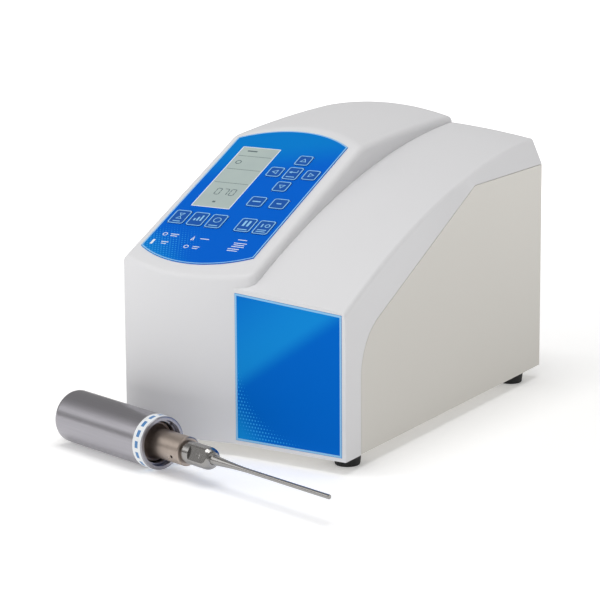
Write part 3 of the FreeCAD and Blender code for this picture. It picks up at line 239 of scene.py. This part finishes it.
def plain_finish(name, colour, roughness=0.4):
    """One flat colour with a faint unevenness, as of screen ink, a dipped coat or a fired body."""
    material, tree, shader = new_material(name)
    place = add_node(tree, "TexCoord", output="Object")
    cloud = add_node(tree, "TexNoise", {"Vector": place, "Scale": scale_for(1.111)})
    base = linear(colour)
    tint = add_node(tree, "Mix", {"Factor": cloud, "A": base, "B": shaded(base, 0.93)}, "Result",
                    data_type="RGBA")
    fill_inputs(tree, shader, {"Base Color": tint, "Roughness": roughness, "Specular IOR Level": 0.15})
    return material


# Screen ink dries flat and slightly matt, with the faint clouds that the squeegee leaves. The white one
# also draws the painted highlight round the display window.
pale_ink = plain_finish("Screen ink pale blue", "#93CDF4")
white_ink_and_highlight = plain_finish("Screen ink white and painted highlight", "#E9F3FB")


def finished(name, mesh, material, body, place):
    """Turns a bmesh in millimetres into a piece at its place, riding on a body."""
    bmesh.ops.recalc_face_normals(mesh, faces=mesh.faces)
    data = bpy.data.meshes.new(name)
    mesh.to_mesh(data)
    mesh.free()
    data.transform(place @ Matrix.Scale(MM, 4))
    data.materials.append(material)
    piece = bpy.data.objects.new(name, data)
    bpy.context.collection.objects.link(piece)
    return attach(piece, body)


def lay_ink(mesh, face, line=None):
    """Raises a flat shape to the ink's thickness, or only a line along its edge."""
    face.normal_update()
    faces = [face]
    if line:
        faces = bmesh.ops.inset_region(mesh, faces=[face], thickness=line, use_boundary=True,
                                       use_even_offset=True)["faces"]
        bmesh.ops.delete(mesh, geom=[face], context="FACES_ONLY")
    raised = bmesh.ops.extrude_face_region(mesh, geom=faces)["geom"]
    corners = [part for part in raised if isinstance(part, bmesh.types.BMVert)]
    bmesh.ops.translate(mesh, verts=corners, vec=(0, 0, INK))


def add_outline(mesh, points, lift, line=None, rounding=None):
    """A printed shape from its corners, which may be rounded."""
    face = mesh.faces.new([mesh.verts.new((x, y, lift)) for x, y in points])
    if rounding:
        arcs = bmesh.ops.bevel(mesh, geom=face.verts[:], offset=rounding, affect="VERTICES", segments=4,
                               profile=0.5, material=-1)
        face = arcs["verts"][0].link_faces[0]
    lay_ink(mesh, face, line)


label_plane = Matrix((LABEL_AXIS, (0, 0, 1), LABEL_AXIS.cross(Vector((0, 0, 1))))).transposed().to_4x4()
label_plane.translation = LABEL_PLACE
label_edge = bmesh.new()
add_outline(label_edge, LABEL_CORNERS, 0.0, line=LABEL_LINE)
finished("label_border", label_edge, pale_ink, "generator", label_plane)


# Keypad overlay
# A flexible printed film over the console's slope, stuck down round its edge. Its blue ground is the
# label's, and its window and keys are framed in pale blue.

SLOPE = math.radians(22.95)
SLOPE_FOOT = Vector((0, -0.1382, 0.1497))
UPSLOPE = Vector((0, math.cos(SLOPE), math.sin(SLOPE)))
OVERLAY_LEFT, OVERLAY_RIGHT = -94.5, 6.8
OVERLAY_LENGTH = 159.5
OVERLAY_BOW = 16.0
OVERLAY_INSET = 0.15
OVERLAY_DOT_PITCH_MM = 2.6
FILM_TOP = 0.8

# The slope's own plane: x across, y up the slope and z off it, in millimetres from its foot.
console = Matrix.Translation(SLOPE_FOOT) @ Matrix.Rotation(SLOPE, 4, "X")


def overlay_field(tree, across, upward):
    """The lighter ground along the top, and again down the lower left edge."""
    upper = inked_share(tree, (skewed(tree, across, upward, 0.4), 122.0, 174.0))
    lower = inked_share(tree, (skewed(tree, across, upward, -0.8), -42.0, -78.0))
    return add_node(tree, "Math", [upper, lower], operation="MAXIMUM")


def overlay_dots(tree, across, upward):
    """Small dots in the lower left, which thin out upwards and to the right."""
    share = inked_share(tree, (upward, 40.0, 8.0), (across, -30.0, -78.0))
    size = add_node(tree, "Math", [share, 0.3], operation="MULTIPLY")
    return dot_rows(tree, across, upward, OVERLAY_DOT_PITCH_MM, size)


# The same satin print as the label's, on a thinner polyester film.
overlay_film = printed_film("Printed polyester film blue", SLOPE_FOOT, (1, 0, 0), UPSLOPE,
                            overlay_field, overlay_dots, ("#0362D0", "#057CCF", "#2C92E0"))
dress("keypad_overlay", overlay_film)


# Each bow of the border is spun from one corner, and straight sides join the bows.
border = bmesh.new()
left, right = OVERLAY_LEFT + OVERLAY_INSET, OVERLAY_RIGHT - OVERLAY_INSET
half_wide = (right - left) / 2
bow_radius = half_wide * half_wide / (2 * OVERLAY_BOW) + OVERLAY_BOW / 2
bow_turn = 2 * math.asin(half_wide / bow_radius)
arc_ends = []
for x, y, side in ((left, OVERLAY_INSET, -1), (right, OVERLAY_LENGTH - OVERLAY_INSET, 1)):
    corner = border.verts.new((x, y, FILM_TOP))
    centre = ((left + right) / 2, y + side * (OVERLAY_BOW - bow_radius), FILM_TOP)
    arc = bmesh.ops.spin(border, geom=[corner], cent=centre, axis=(0, 0, 1), angle=bow_turn, steps=24)
    arc_ends.append((corner, arc["geom_last"][0]))
(lower_left, lower_right), (upper_right, upper_left) = arc_ends
border.edges.new((lower_right, upper_right))
border.edges.new((upper_left, lower_left))
lay_ink(border, bmesh.ops.contextual_create(border, geom=border.edges[:])["faces"][0], line=1.0)
finished("overlay_border", border, pale_ink, "generator", console)


# Display
# A clear window lies flush in the overlay, bonded to a reflective liquid crystal cell. The cell is a
# grey-green field with thin dark rules and a few dark segments. A fine white line round the window is a
# painted highlight of its lit edge.

LCD_LEFT, LCD_RIGHT, LCD_LOW, LCD_HIGH = -82.0, -48.4, 59.5, 146.4
LCD_MIDDLE = (LCD_LEFT + LCD_RIGHT) / 2
LCD_RULES = (0.145, 0.37, 0.6)
SEGMENTS = {"0": "abcdef", "7": "abc"}
DIGIT_WIDE, DIGIT_TALL, STROKE = 4.2, 8.4, 0.75
DIGIT_STEP = 6.6
EDGE_LINE = 0.8

# The cell is dull and faintly cloudy, and the window bonded over it gives it a clear gloss.
lcd_face, lcd_tree, lcd_shader = new_material("Liquid crystal cell grey-green")
lcd_place = add_node(lcd_tree, "TexCoord", output="Object")
cell_cloud = add_node(lcd_tree, "TexNoise", {"Vector": lcd_place, "Scale": scale_for(33.33)})
cell_colour = add_node(lcd_tree, "Mix", {"Factor": cell_cloud, "A": linear("#BCCBC4"),
                                         "B": linear("#A9B9B9")}, "Result", data_type="RGBA")
fill_inputs(lcd_tree, lcd_shader, {"Base Color": cell_colour, "Roughness": 0.3, "Coat Weight": 0.6,
                                   "Coat Roughness": 0.08})
for name in ("lcd_window", "lcd_module"):
    dress(name, lcd_face)
segment_ink = plain_finish("Dark crystal segment", "#5F6F74", 0.3)


def add_bar(mesh, x, y, width, height, lift=FILM_TOP, line=None, rounding=None):
    """A rectangle about its middle, filled or as a line, which may have round corners."""
    add_outline(mesh, [(x - width / 2, y - height / 2), (x + width / 2, y - height / 2),
                       (x + width / 2, y + height / 2), (x - width / 2, y + height / 2)],
                lift, line, rounding)


def add_digit(mesh, digit, x, y):
    """A digit drawn from the segments that are on."""
    w, h = DIGIT_WIDE / 2, DIGIT_TALL / 2
    bars = {"a": (0, h, 1), "b": (w, h / 2, 0), "c": (w, -h / 2, 0), "d": (0, -h, 1),
            "e": (-w, -h / 2, 0), "f": (-w, h / 2, 0)}
    for letter in SEGMENTS[digit]:
        dx, dy, lying = bars[letter]
        size = (DIGIT_WIDE - STROKE, STROKE) if lying else (STROKE, DIGIT_TALL / 2 - STROKE)
        add_bar(mesh, x + dx, y + dy, *size)


picture = bmesh.new()
for share in LCD_RULES:
    add_bar(picture, LCD_MIDDLE, LCD_HIGH - share * (LCD_HIGH - LCD_LOW), 30.5, 0.45)
add_bar(picture, LCD_MIDDLE - 6, LCD_HIGH - 5.2, 9.0, 1.6)
add_bar(picture, LCD_MIDDLE - 10, LCD_HIGH - 22, 5.4, 5.4, line=0.8, rounding=2.6)
for i, digit in enumerate("070"):
    add_digit(picture, digit, LCD_MIDDLE - 5 + i * DIGIT_STEP, LCD_LOW + 22)
add_bar(picture, LCD_MIDDLE - 1, LCD_LOW + 7.5, 2.6, 2.2)
finished("display_picture", picture, segment_ink, "generator", console)

# A painted highlight: a white line, drawn all round, stands for the light caught by the window's edge.
window_highlight = bmesh.new()
add_bar(window_highlight, LCD_MIDDLE, (LCD_LOW + LCD_HIGH) / 2, LCD_RIGHT - LCD_LEFT + 2 * EDGE_LINE,
        LCD_HIGH - LCD_LOW + 2 * EDGE_LINE, line=EDGE_LINE, rounding=0.8)
finished("window_highlight", window_highlight, white_ink_and_highlight, "generator", console)


# Keys
# Each key is a printed polyester cap over a snap dome, in a deeper blue than the ground. A pale line
# runs round it, with a plain mark inside.

KEY_TOP = 1.25
SMALL, TALL, WIDE, MODE = (13.2, 14.2), (13.6, 18.0), (14.4, 14.2), (14.6, 18.8)
KEYS = {
    "key_up": (-20.0, 134.4, SMALL), "key_left": (-36.1, 115.2, SMALL),
    "key_enter": (-20.0, 115.2, TALL), "key_right": (-3.4, 115.2, SMALL),
    "key_down": (-20.0, 96.0, SMALL), "key_mode": (-29.8, 72.4, WIDE),
    "key_clear": (-9.6, 72.4, WIDE), "key_timer": (-82.9, 41.6, MODE),
    "key_amplitude": (-65.9, 41.2, MODE), "key_setup": (-48.9, 40.8, MODE),
    "key_pause": (-22.0, 40.0, MODE), "key_start": (-5.4, 39.4, MODE),
}

# The marks, in millimetres from a key's middle: bars as (x, y, width, height), rings as (x, y, width,
# radius, line), an open triangle turned for each arrow, and other shapes by their corners and line.
BARS = {
    "key_enter": [(0.4, 1.6, 6.0, 0.8), (3.0, 3.0, 0.8, 3.4), (0.0, -5.0, 7.4, 1.0)],
    "key_pause": [(-1.9, 2.0, 2.0, 7.4), (1.9, 2.0, 2.0, 7.4), (0.0, -6.2, 8.6, 1.1)],
    "key_start": [(-2.6, 2.2, 1.2, 4.4), (0.0, -3.6, 8.0, 1.0), (0.0, -6.0, 8.0, 1.0)],
    "key_mode": [(0.0, 0.0, 7.4, 1.3)],
    "key_clear": [(0.0, 0.0, 4.2, 1.3)],
    "key_timer": [(0.0, -6.0, 6.6, 1.0)],
    "key_amplitude": [(-2.8, -0.9, 1.5, 3.0), (0.0, 0.2, 1.5, 5.2), (2.8, 1.4, 1.5, 7.6)],
    "key_setup": [(0.0, -6.0, 8.0, 1.0)],
}
RINGS = {"key_start": (2.2, 2.2, 4.6, 2.2, 0.8), "key_setup": (0.0, 1.6, 6.8, 3.3, 0.7)}
ARROWS = {"key_up": 0, "key_left": 90, "key_down": 180, "key_right": 270}
ARROW_CORNERS = [(0.0, 2.9), (-3.0, -2.1), (3.0, -2.1)]
SHAPES = {
    "key_enter": [([(-4.2, 1.6), (-1.6, 0.0), (-1.6, 3.2)], None)],
    "key_timer": [([(-2.8, 5.2), (2.8, 5.2), (0.0, 1.2)], 0.6),
                  ([(-2.8, -2.8), (0.0, 1.2), (2.8, -2.8)], 0.6)],
}

# The caps are matt like the film, but a shade deeper, so they stand out only by colour and their line.
key_blue = plain_finish("Printed polyester key dark blue", "#0A55AE", 0.4)


def turned(points, degrees):
    """Points turned about the origin."""
    angle = math.radians(degrees)
    return [(a * math.cos(angle) - b * math.sin(angle), a * math.sin(angle) + b * math.cos(angle))
            for a, b in points]


for key, (x, y, (width, height)) in KEYS.items():
    dress(key, key_blue)
    lines = bmesh.new()
    add_bar(lines, x, y, width - 0.7, height - 0.7, KEY_TOP, line=0.8, rounding=2.2)
    shapes = list(SHAPES.get(key, []))
    if key in ARROWS:
        shapes.append((turned(ARROW_CORNERS, ARROWS[key]), 0.62))
    for corners, line in shapes:
        add_outline(lines, [(x + a, y + b) for a, b in corners], KEY_TOP, line=line)
    for a, b, wide, tall in BARS.get(key, []):
        add_bar(lines, x + a, y + b, wide, tall, KEY_TOP)
    if key in RINGS:
        a, b, wide, radius, line = RINGS[key]
        add_bar(lines, x + a, y + b, wide, wide, KEY_TOP, line=line, rounding=radius)
    finished(key + "_print", lines, pale_ink, key, console)


# Small print below the keys
# Groups of short white dashes are screen printed on the film below the keys, each beside a small plain
# sign: two rings, a bar and a triangle.

DASH_GROUPS = (
    (-74.0, 18.5, (7.5, 6.0)), (-77.0, 7.5, (6.5, 4.5)), (-46.0, 16.5, (8.0,)), (-47.5, 5.5, (6.0, 5.0)),
    (-14.0, 20.5, (8.0,)), (-13.5, 16.0, (11.5, 9.5, 11.0)), (-15.5, 8.0, (10.0, 9.0)),
)
DASH_STEP, DASH_TALL = 2.4, 0.8

small_print = bmesh.new()
for x, y, dashes in DASH_GROUPS:
    for i, width in enumerate(dashes):
        add_bar(small_print, x, y - i * DASH_STEP, width, DASH_TALL)
for x, y in ((-82.5, 17.5), (-56.0, 4.5)):
    add_bar(small_print, x, y, 4.2, 4.2, line=0.6, rounding=2.0)
add_outline(small_print, [(-88.5, 3.0), (-86.4, 3.0), (-86.4, 9.2), (-88.5, 9.2)], FILM_TOP)
add_outline(small_print, [(-57.5, 13.5), (-54.5, 13.5), (-56.0, 19.0)], FILM_TOP, line=0.6)
finished("overlay_small_print", small_print, white_ink_and_highlight, "generator", console)


# Feet and screws
# Four feet are moulded in black rubber, each held up into the chassis by a screw in its recess. All the
# screws, those of the cover, the fan, the port and the boards too, are zinc-plated steel.

# Rubber is dull and nearly black, with a grain that shows only where light grazes it. The real grain is
# finer, and is drawn at 0.8 mm.
foot_rubber = moulded_plastic("Moulded rubber black", "#17181A", grain_mm=0.8, roughness=0.7, mottle=0.1,
                              bump_mm=0.04)
dress("feet", foot_rubber)


def plated_metal(name, colour, roughness, scratch_mm=0.35, bump_mm=0.004):
    """A metal surface with fine uneven marks and a drift in its gloss."""
    material, tree, shader = new_material(name)
    place = add_node(tree, "TexCoord", output="Object")
    marks = add_node(tree, "TexNoise", {"Vector": place, "Scale": scale_for(scratch_mm), "Detail": 4.0})
    bump = add_node(tree, "Bump", {"Strength": 0.3, "Distance": bump_mm * MM, "Height": marks})
    drift = add_node(tree, "TexNoise", {"Vector": place, "Scale": scale_for(16.67), "Detail": 2.0})
    gloss = add_node(tree, "MapRange", {"Value": drift, "To Min": roughness * 0.75,
                                        "To Max": roughness * 1.3})
    base = linear(colour)
    tint = add_node(tree, "Mix", {"Factor": marks, "A": base, "B": shaded(base, 0.88)}, "Result",
                    data_type="RGBA")
    fill_inputs(tree, shader, {"Base Color": tint, "Roughness": gloss, "Normal": bump, "Metallic": 1.0})
    return material


# Zinc plate is bright but slightly blotchy. The marks of handling are drawn at 0.35 mm, several times
# their real width.
zinc = plated_metal("Zinc plated steel", "#B9BBBD", 0.3)
for name in ("foot_screws", "cover_screws", "fan_screws", "port_screws", "board_screws",
             "standoff_screws"):
    dress(name, zinc)


# Fan, power inlet, switch and connectors
# The rear panel carries a black fan behind a bright wire guard, a black power inlet with its fuse drawer,
# a rocker switch, and nickel-plated sockets for the converter and for remote control.

# The fan's glass-filled nylon is dull and a little grey, and the inlet's and the switch's plastic is
# smoother and blacker. Both grains are really finer than drawn. Nickel is warm and clear, and the wire
# is the brightest metal on the panel.
fan_plastic = moulded_plastic("Glass filled nylon black", "#1B1C1E", grain_mm=0.9, roughness=0.45,
                              mottle=0.08, bump_mm=0.02)
inlet_plastic = moulded_plastic("Moulded PBT black", "#141516", grain_mm=0.7, roughness=0.35,
                                mottle=0.06, bump_mm=0.01)
nickel = plated_metal("Nickel plated brass", "#C9C4B8", 0.18)
bright_wire = plated_metal("Bright nickel wire", "#D2D3D4", 0.12)
for name in ("fan_frame", "fan_rotor"):
    dress(name, fan_plastic)
for name in ("power_inlet", "fuse_drawer", "switch_bezel", "power_rocker"):
    dress(name, inlet_plastic)
for name in ("inlet_pins", "converter_port", "remote_connector", "rear_socket", "mains_filter",
             "standoffs"):
    dress(name, nickel)
dress("fan_guard", bright_wire)
dress("fuses", plain_finish("Glass fuse body", "#CAD4D6", 0.08))


# Electronics
# A main board on standoffs carries the heat sink, capacitors and output transformer, and a keypad board
# with its snap domes is screwed under the console. The case hides them but for what the vents show.

# Solder mask is a smooth satin green, the sleeves are smooth and near black, and ferrite is dull grey.
# Aluminium is pale and satin, and the enamelled wire keeps copper's colour and shine.
board_green = plain_finish("Solder mask green", "#1B5B38", 0.3)
for name in ("main_board", "keypad_board"):
    dress(name, board_green)
dress("dome_switches", zinc)
dress("heat_sink", plated_metal("Extruded aluminium", "#C7C9CA", 0.35))
dress("capacitors", plain_finish("Shrink sleeve black", "#202430", 0.3))
dress("output_transformer", plain_finish("Sintered ferrite", "#33353A", 0.5))
dress("transformer_windings", plated_metal("Enamelled copper wire", "#B4683A", 0.3))


# Converter
# A drawn stainless steel tube, polished and lightly brushed along its length, with a printed band near
# its open front end and a threaded ring inside.

TURN = math.radians(-18.55)
HANDSET_PLACE = (-0.0256, -0.2191, 0.0205)
MARK_LENGTHS = 60
BAND_STATION_MM = -5.9
BAND_MARKS = 15
BAND_MARK_SHARE = 0.62
BAND_MARK_HALF_MM = 1.7


def turned_metal(name, colour, roughness, groove_mm, depth_mm, lengthwise=False):
    """A lathe-turned or drawn finish: fine marks that run round the handset's axis or along it. The
    marks along it are darker, partly grain and partly painted reflection streaks.
    """
    material, tree, shader = new_material(name)
    place = add_node(tree, "TexCoord", output="Object")
    local = add_node(tree, "Mapping", {"Vector": place, "Location": HANDSET_PLACE,
                                       "Rotation": (0, 0, TURN)}, vector_type="TEXTURE")
    fine = scale_for(groove_mm)
    long = fine / MARK_LENGTHS
    squeezed = add_node(tree, "Mapping", {"Vector": local, "Scale": (long, fine, fine) if lengthwise
                                          else (fine, long, long)}, vector_type="POINT")
    marks = add_node(tree, "TexNoise", {"Vector": squeezed, "Scale": 1.0, "Detail": 3.0})
    bump = add_node(tree, "Bump", {"Strength": 0.4, "Distance": depth_mm * MM, "Height": marks})
    gloss = add_node(tree, "MapRange", {"Value": marks, "To Min": roughness * 0.8,
                                        "To Max": roughness * 1.25})
    base = linear(colour)
    # Grooves are a shade darker. Along the tube they are darker still, which also paints the dark
    # reflection streaks that run its length.
    groove_and_streak_tone = shaded(base, 0.84 if lengthwise else 0.93)
    tint = add_node(tree, "Mix", {"Factor": marks, "A": base, "B": groove_and_streak_tone}, "Result",
                    data_type="RGBA")
    fill_inputs(tree, shader, {"Base Color": tint, "Roughness": gloss, "Normal": bump, "Metallic": 1.0})
    return material


# White vinyl with a satin face, printed with one row of blue dashes round the tube. The place is worked
# out as millimetres along the handset's axis, across it and up.
printed_band, band_tree, band_shader = new_material("Printed vinyl band")
band_place = add_node(band_tree, "TexCoord", output="Object")
band_local = add_node(band_tree, "Mapping", {"Vector": band_place, "Location": HANDSET_PLACE,
                                             "Rotation": (0, 0, TURN), "Scale": (MM, MM, MM)},
                      vector_type="TEXTURE")
station, sideways, height = add_node(band_tree, "SeparateXYZ", {"Vector": band_local}, slice(3))
bearing = add_node(band_tree, "Math", [height, sideways], operation="ARCTAN2")
turn_share = add_node(band_tree, "Math", [bearing, math.tau], operation="DIVIDE")
mark_count = add_node(band_tree, "Math", [turn_share, BAND_MARKS], operation="MULTIPLY")
within_mark = add_node(band_tree, "Math", [mark_count], operation="FRACT")
dash = add_node(band_tree, "Math", [within_mark, BAND_MARK_SHARE], operation="LESS_THAN")
from_line = add_node(band_tree, "Math", [station, BAND_STATION_MM], operation="SUBTRACT")
off_line = add_node(band_tree, "Math", [from_line], operation="ABSOLUTE")
on_line = add_node(band_tree, "Math", [off_line, BAND_MARK_HALF_MM], operation="LESS_THAN")
mark = add_node(band_tree, "Math", [dash, on_line], operation="MULTIPLY")
band_colour = add_node(band_tree, "Mix", {"Factor": mark, "A": linear("#EFF2F4"),
                                          "B": linear("#4E86BE")}, "Result", data_type="RGBA")
fill_inputs(band_tree, band_shader, {"Base Color": band_colour, "Roughness": 0.38})

# Drawing lines run the length of the tube and pull its highlights into long soft streaks. Their darker
# colour also paints dark reflection streaks along it. They are a few hundredths of a millimetre apart,
# and are drawn at 1.1 mm so that they show.
shell_steel = turned_metal("Polished stainless steel tube", "#AFADB3", 0.3, groove_mm=1.1,
                           depth_mm=0.006, lengthwise=True)
for name in ("converter_case", "front_ring"):
    dress(name, shell_steel)
dress("converter_label", printed_band)


# Front driver and horn
# Both are turned from titanium alloy bar and left bright, with fine lathe marks. The horn screws onto
# the driver by a stud and has two flats for its spanner.

# Lathe marks ring the metal and make its highlights silky: the driver's is satin, the horn's brighter.
# The driver's warm tint is partly the metal's own and partly a painted warm reflection. The marks' real
# feed is about 0.1 mm a turn, and they are drawn at about 0.5 mm.
driver_metal = turned_metal("Turned titanium warm", "#B3A69C", 0.38, groove_mm=0.45, depth_mm=0.006)
horn_metal = turned_metal("Turned titanium bright", "#A2A09E", 0.22, groove_mm=0.5, depth_mm=0.003)
dress("front_driver", driver_metal)
dress("horn", horn_metal)
for name in ("horn_stud", "stack_bolt", "back_mass"):
    dress(name, turned_metal("Turned steel " + name, "#8F9092", 0.28, groove_mm=0.4, depth_mm=0.008))

# Inside: a dull rubber ring, chalky fired discs, and thin warm metal tabs between them.
dress("nodal_ring", foot_rubber)
dress("piezo_discs", plain_finish("Piezo ceramic", "#8C8576", 0.6))
dress("electrodes", plated_metal("Beryllium copper", "#C08A4C", 0.3))


# Floor, light and camera
# A plain white sweep under soft studio light. The photograph is a long-lens view from the right of the
# front and a little above, and the camera stands where it was taken.

CAMERA_PLACE = (1.07468, -1.91172, 0.59326)
CAMERA_AZIMUTH = math.radians(30.0888)
CAMERA_DIP = math.radians(12.9468)
CAMERA_ROLL = math.radians(-0.3541)
LENS_MM = 168.0
SENSOR_MM = 36.0
FLOOR_SIZE = 14.0
GLOW_FROM, GLOW_TO = 0.3, 1.3
LIT_MIDDLE = Vector((0, 0, 0.1))

forward = Vector((-math.sin(CAMERA_AZIMUTH) * math.cos(CAMERA_DIP),
                  math.cos(CAMERA_AZIMUTH) * math.cos(CAMERA_DIP), -math.sin(CAMERA_DIP)))
level = Vector((math.cos(CAMERA_AZIMUTH), math.sin(CAMERA_AZIMUTH), 0))
upright = level.cross(forward)
right = level * math.cos(CAMERA_ROLL) + upright * math.sin(CAMERA_ROLL)
up = upright * math.cos(CAMERA_ROLL) - level * math.sin(CAMERA_ROLL)
camera_data = bpy.data.cameras.new("camera")
camera_data.lens = LENS_MM
camera_data.sensor_width = SENSOR_MM
camera_data.clip_end = 20.0
camera = bpy.data.objects.new("camera", camera_data)
camera_turn = Matrix((right, up, -forward)).transposed().to_4x4()
camera.matrix_world = Matrix.Translation(CAMERA_PLACE) @ camera_turn
bpy.context.collection.objects.link(camera)
bpy.context.scene.camera = camera

floor_mesh = bmesh.new()
bmesh.ops.create_grid(floor_mesh, x_segments=1, y_segments=1, size=FLOOR_SIZE)
floor_data = bpy.data.meshes.new("floor")
floor_mesh.to_mesh(floor_data)
floor_mesh.free()
floor = bpy.data.objects.new("floor", floor_data)
bpy.context.collection.objects.link(floor)

# Matt white paper, faintly uneven. It glows more and more away from the middle, as a lit sweep does, so
# the object stands on white.
floor_paper, floor_tree, floor_shader = new_material("White paper sweep")
floor_place = add_node(floor_tree, "TexCoord", output="Object")
paper_grain = add_node(floor_tree, "TexNoise", {"Vector": floor_place, "Scale": scale_for(333.3)})
paper_white = add_node(floor_tree, "Mix", {"Factor": paper_grain, "A": linear("#FAFAFA"),
                                           "B": linear("#F7F7F7")}, "Result", data_type="RGBA")
far_off = add_node(floor_tree, "VectorMath", [floor_place], "Value", operation="LENGTH")
sweep_glow = add_node(floor_tree, "MapRange", {"Value": far_off, "From Min": GLOW_FROM,
                                               "From Max": GLOW_TO, "To Min": 0.25, "To Max": 1.0},
                      interpolation_type="SMOOTHSTEP")
fill_inputs(floor_tree, floor_shader, {"Base Color": paper_white, "Roughness": 0.9,
                                       "Emission Color": (1, 1, 1, 1), "Emission Strength": sweep_glow})
floor_data.materials.append(floor_paper)


def soft_box(name, place, width, height, power):
    """A rectangular softbox that faces the middle of the object."""
    data = bpy.data.lights.new(name, "AREA")
    data.shape = "RECTANGLE"
    data.size = width
    data.size_y = height
    data.energy = power
    lamp = bpy.data.objects.new(name, data)
    facing = (LIT_MIDDLE - Vector(place)).to_track_quat("-Z", "Y")
    lamp.matrix_world = Matrix.Translation(place) @ facing.to_matrix().to_4x4()
    bpy.context.collection.objects.link(lamp)


soft_box("side_light", (-2.15, -1.25, 1.75), width=1.3, height=2.2, power=12.5)
soft_box("front_light", (-0.73, -2.72, 1.13), width=1.3, height=1.3, power=5.5)
soft_box("top_light", (0.0, -0.26, 3.09), width=1.8, height=1.8, power=45.0)

studio = bpy.data.worlds.new("studio")
studio.use_nodes = True
bpy.context.scene.world = studio
fill_inputs(studio.node_tree, studio.node_tree.nodes["Background"],
            {"Color": (1.0, 0.99, 0.975, 1), "Strength": 0.34})
bpy.context.scene.view_settings.view_transform = "Standard"
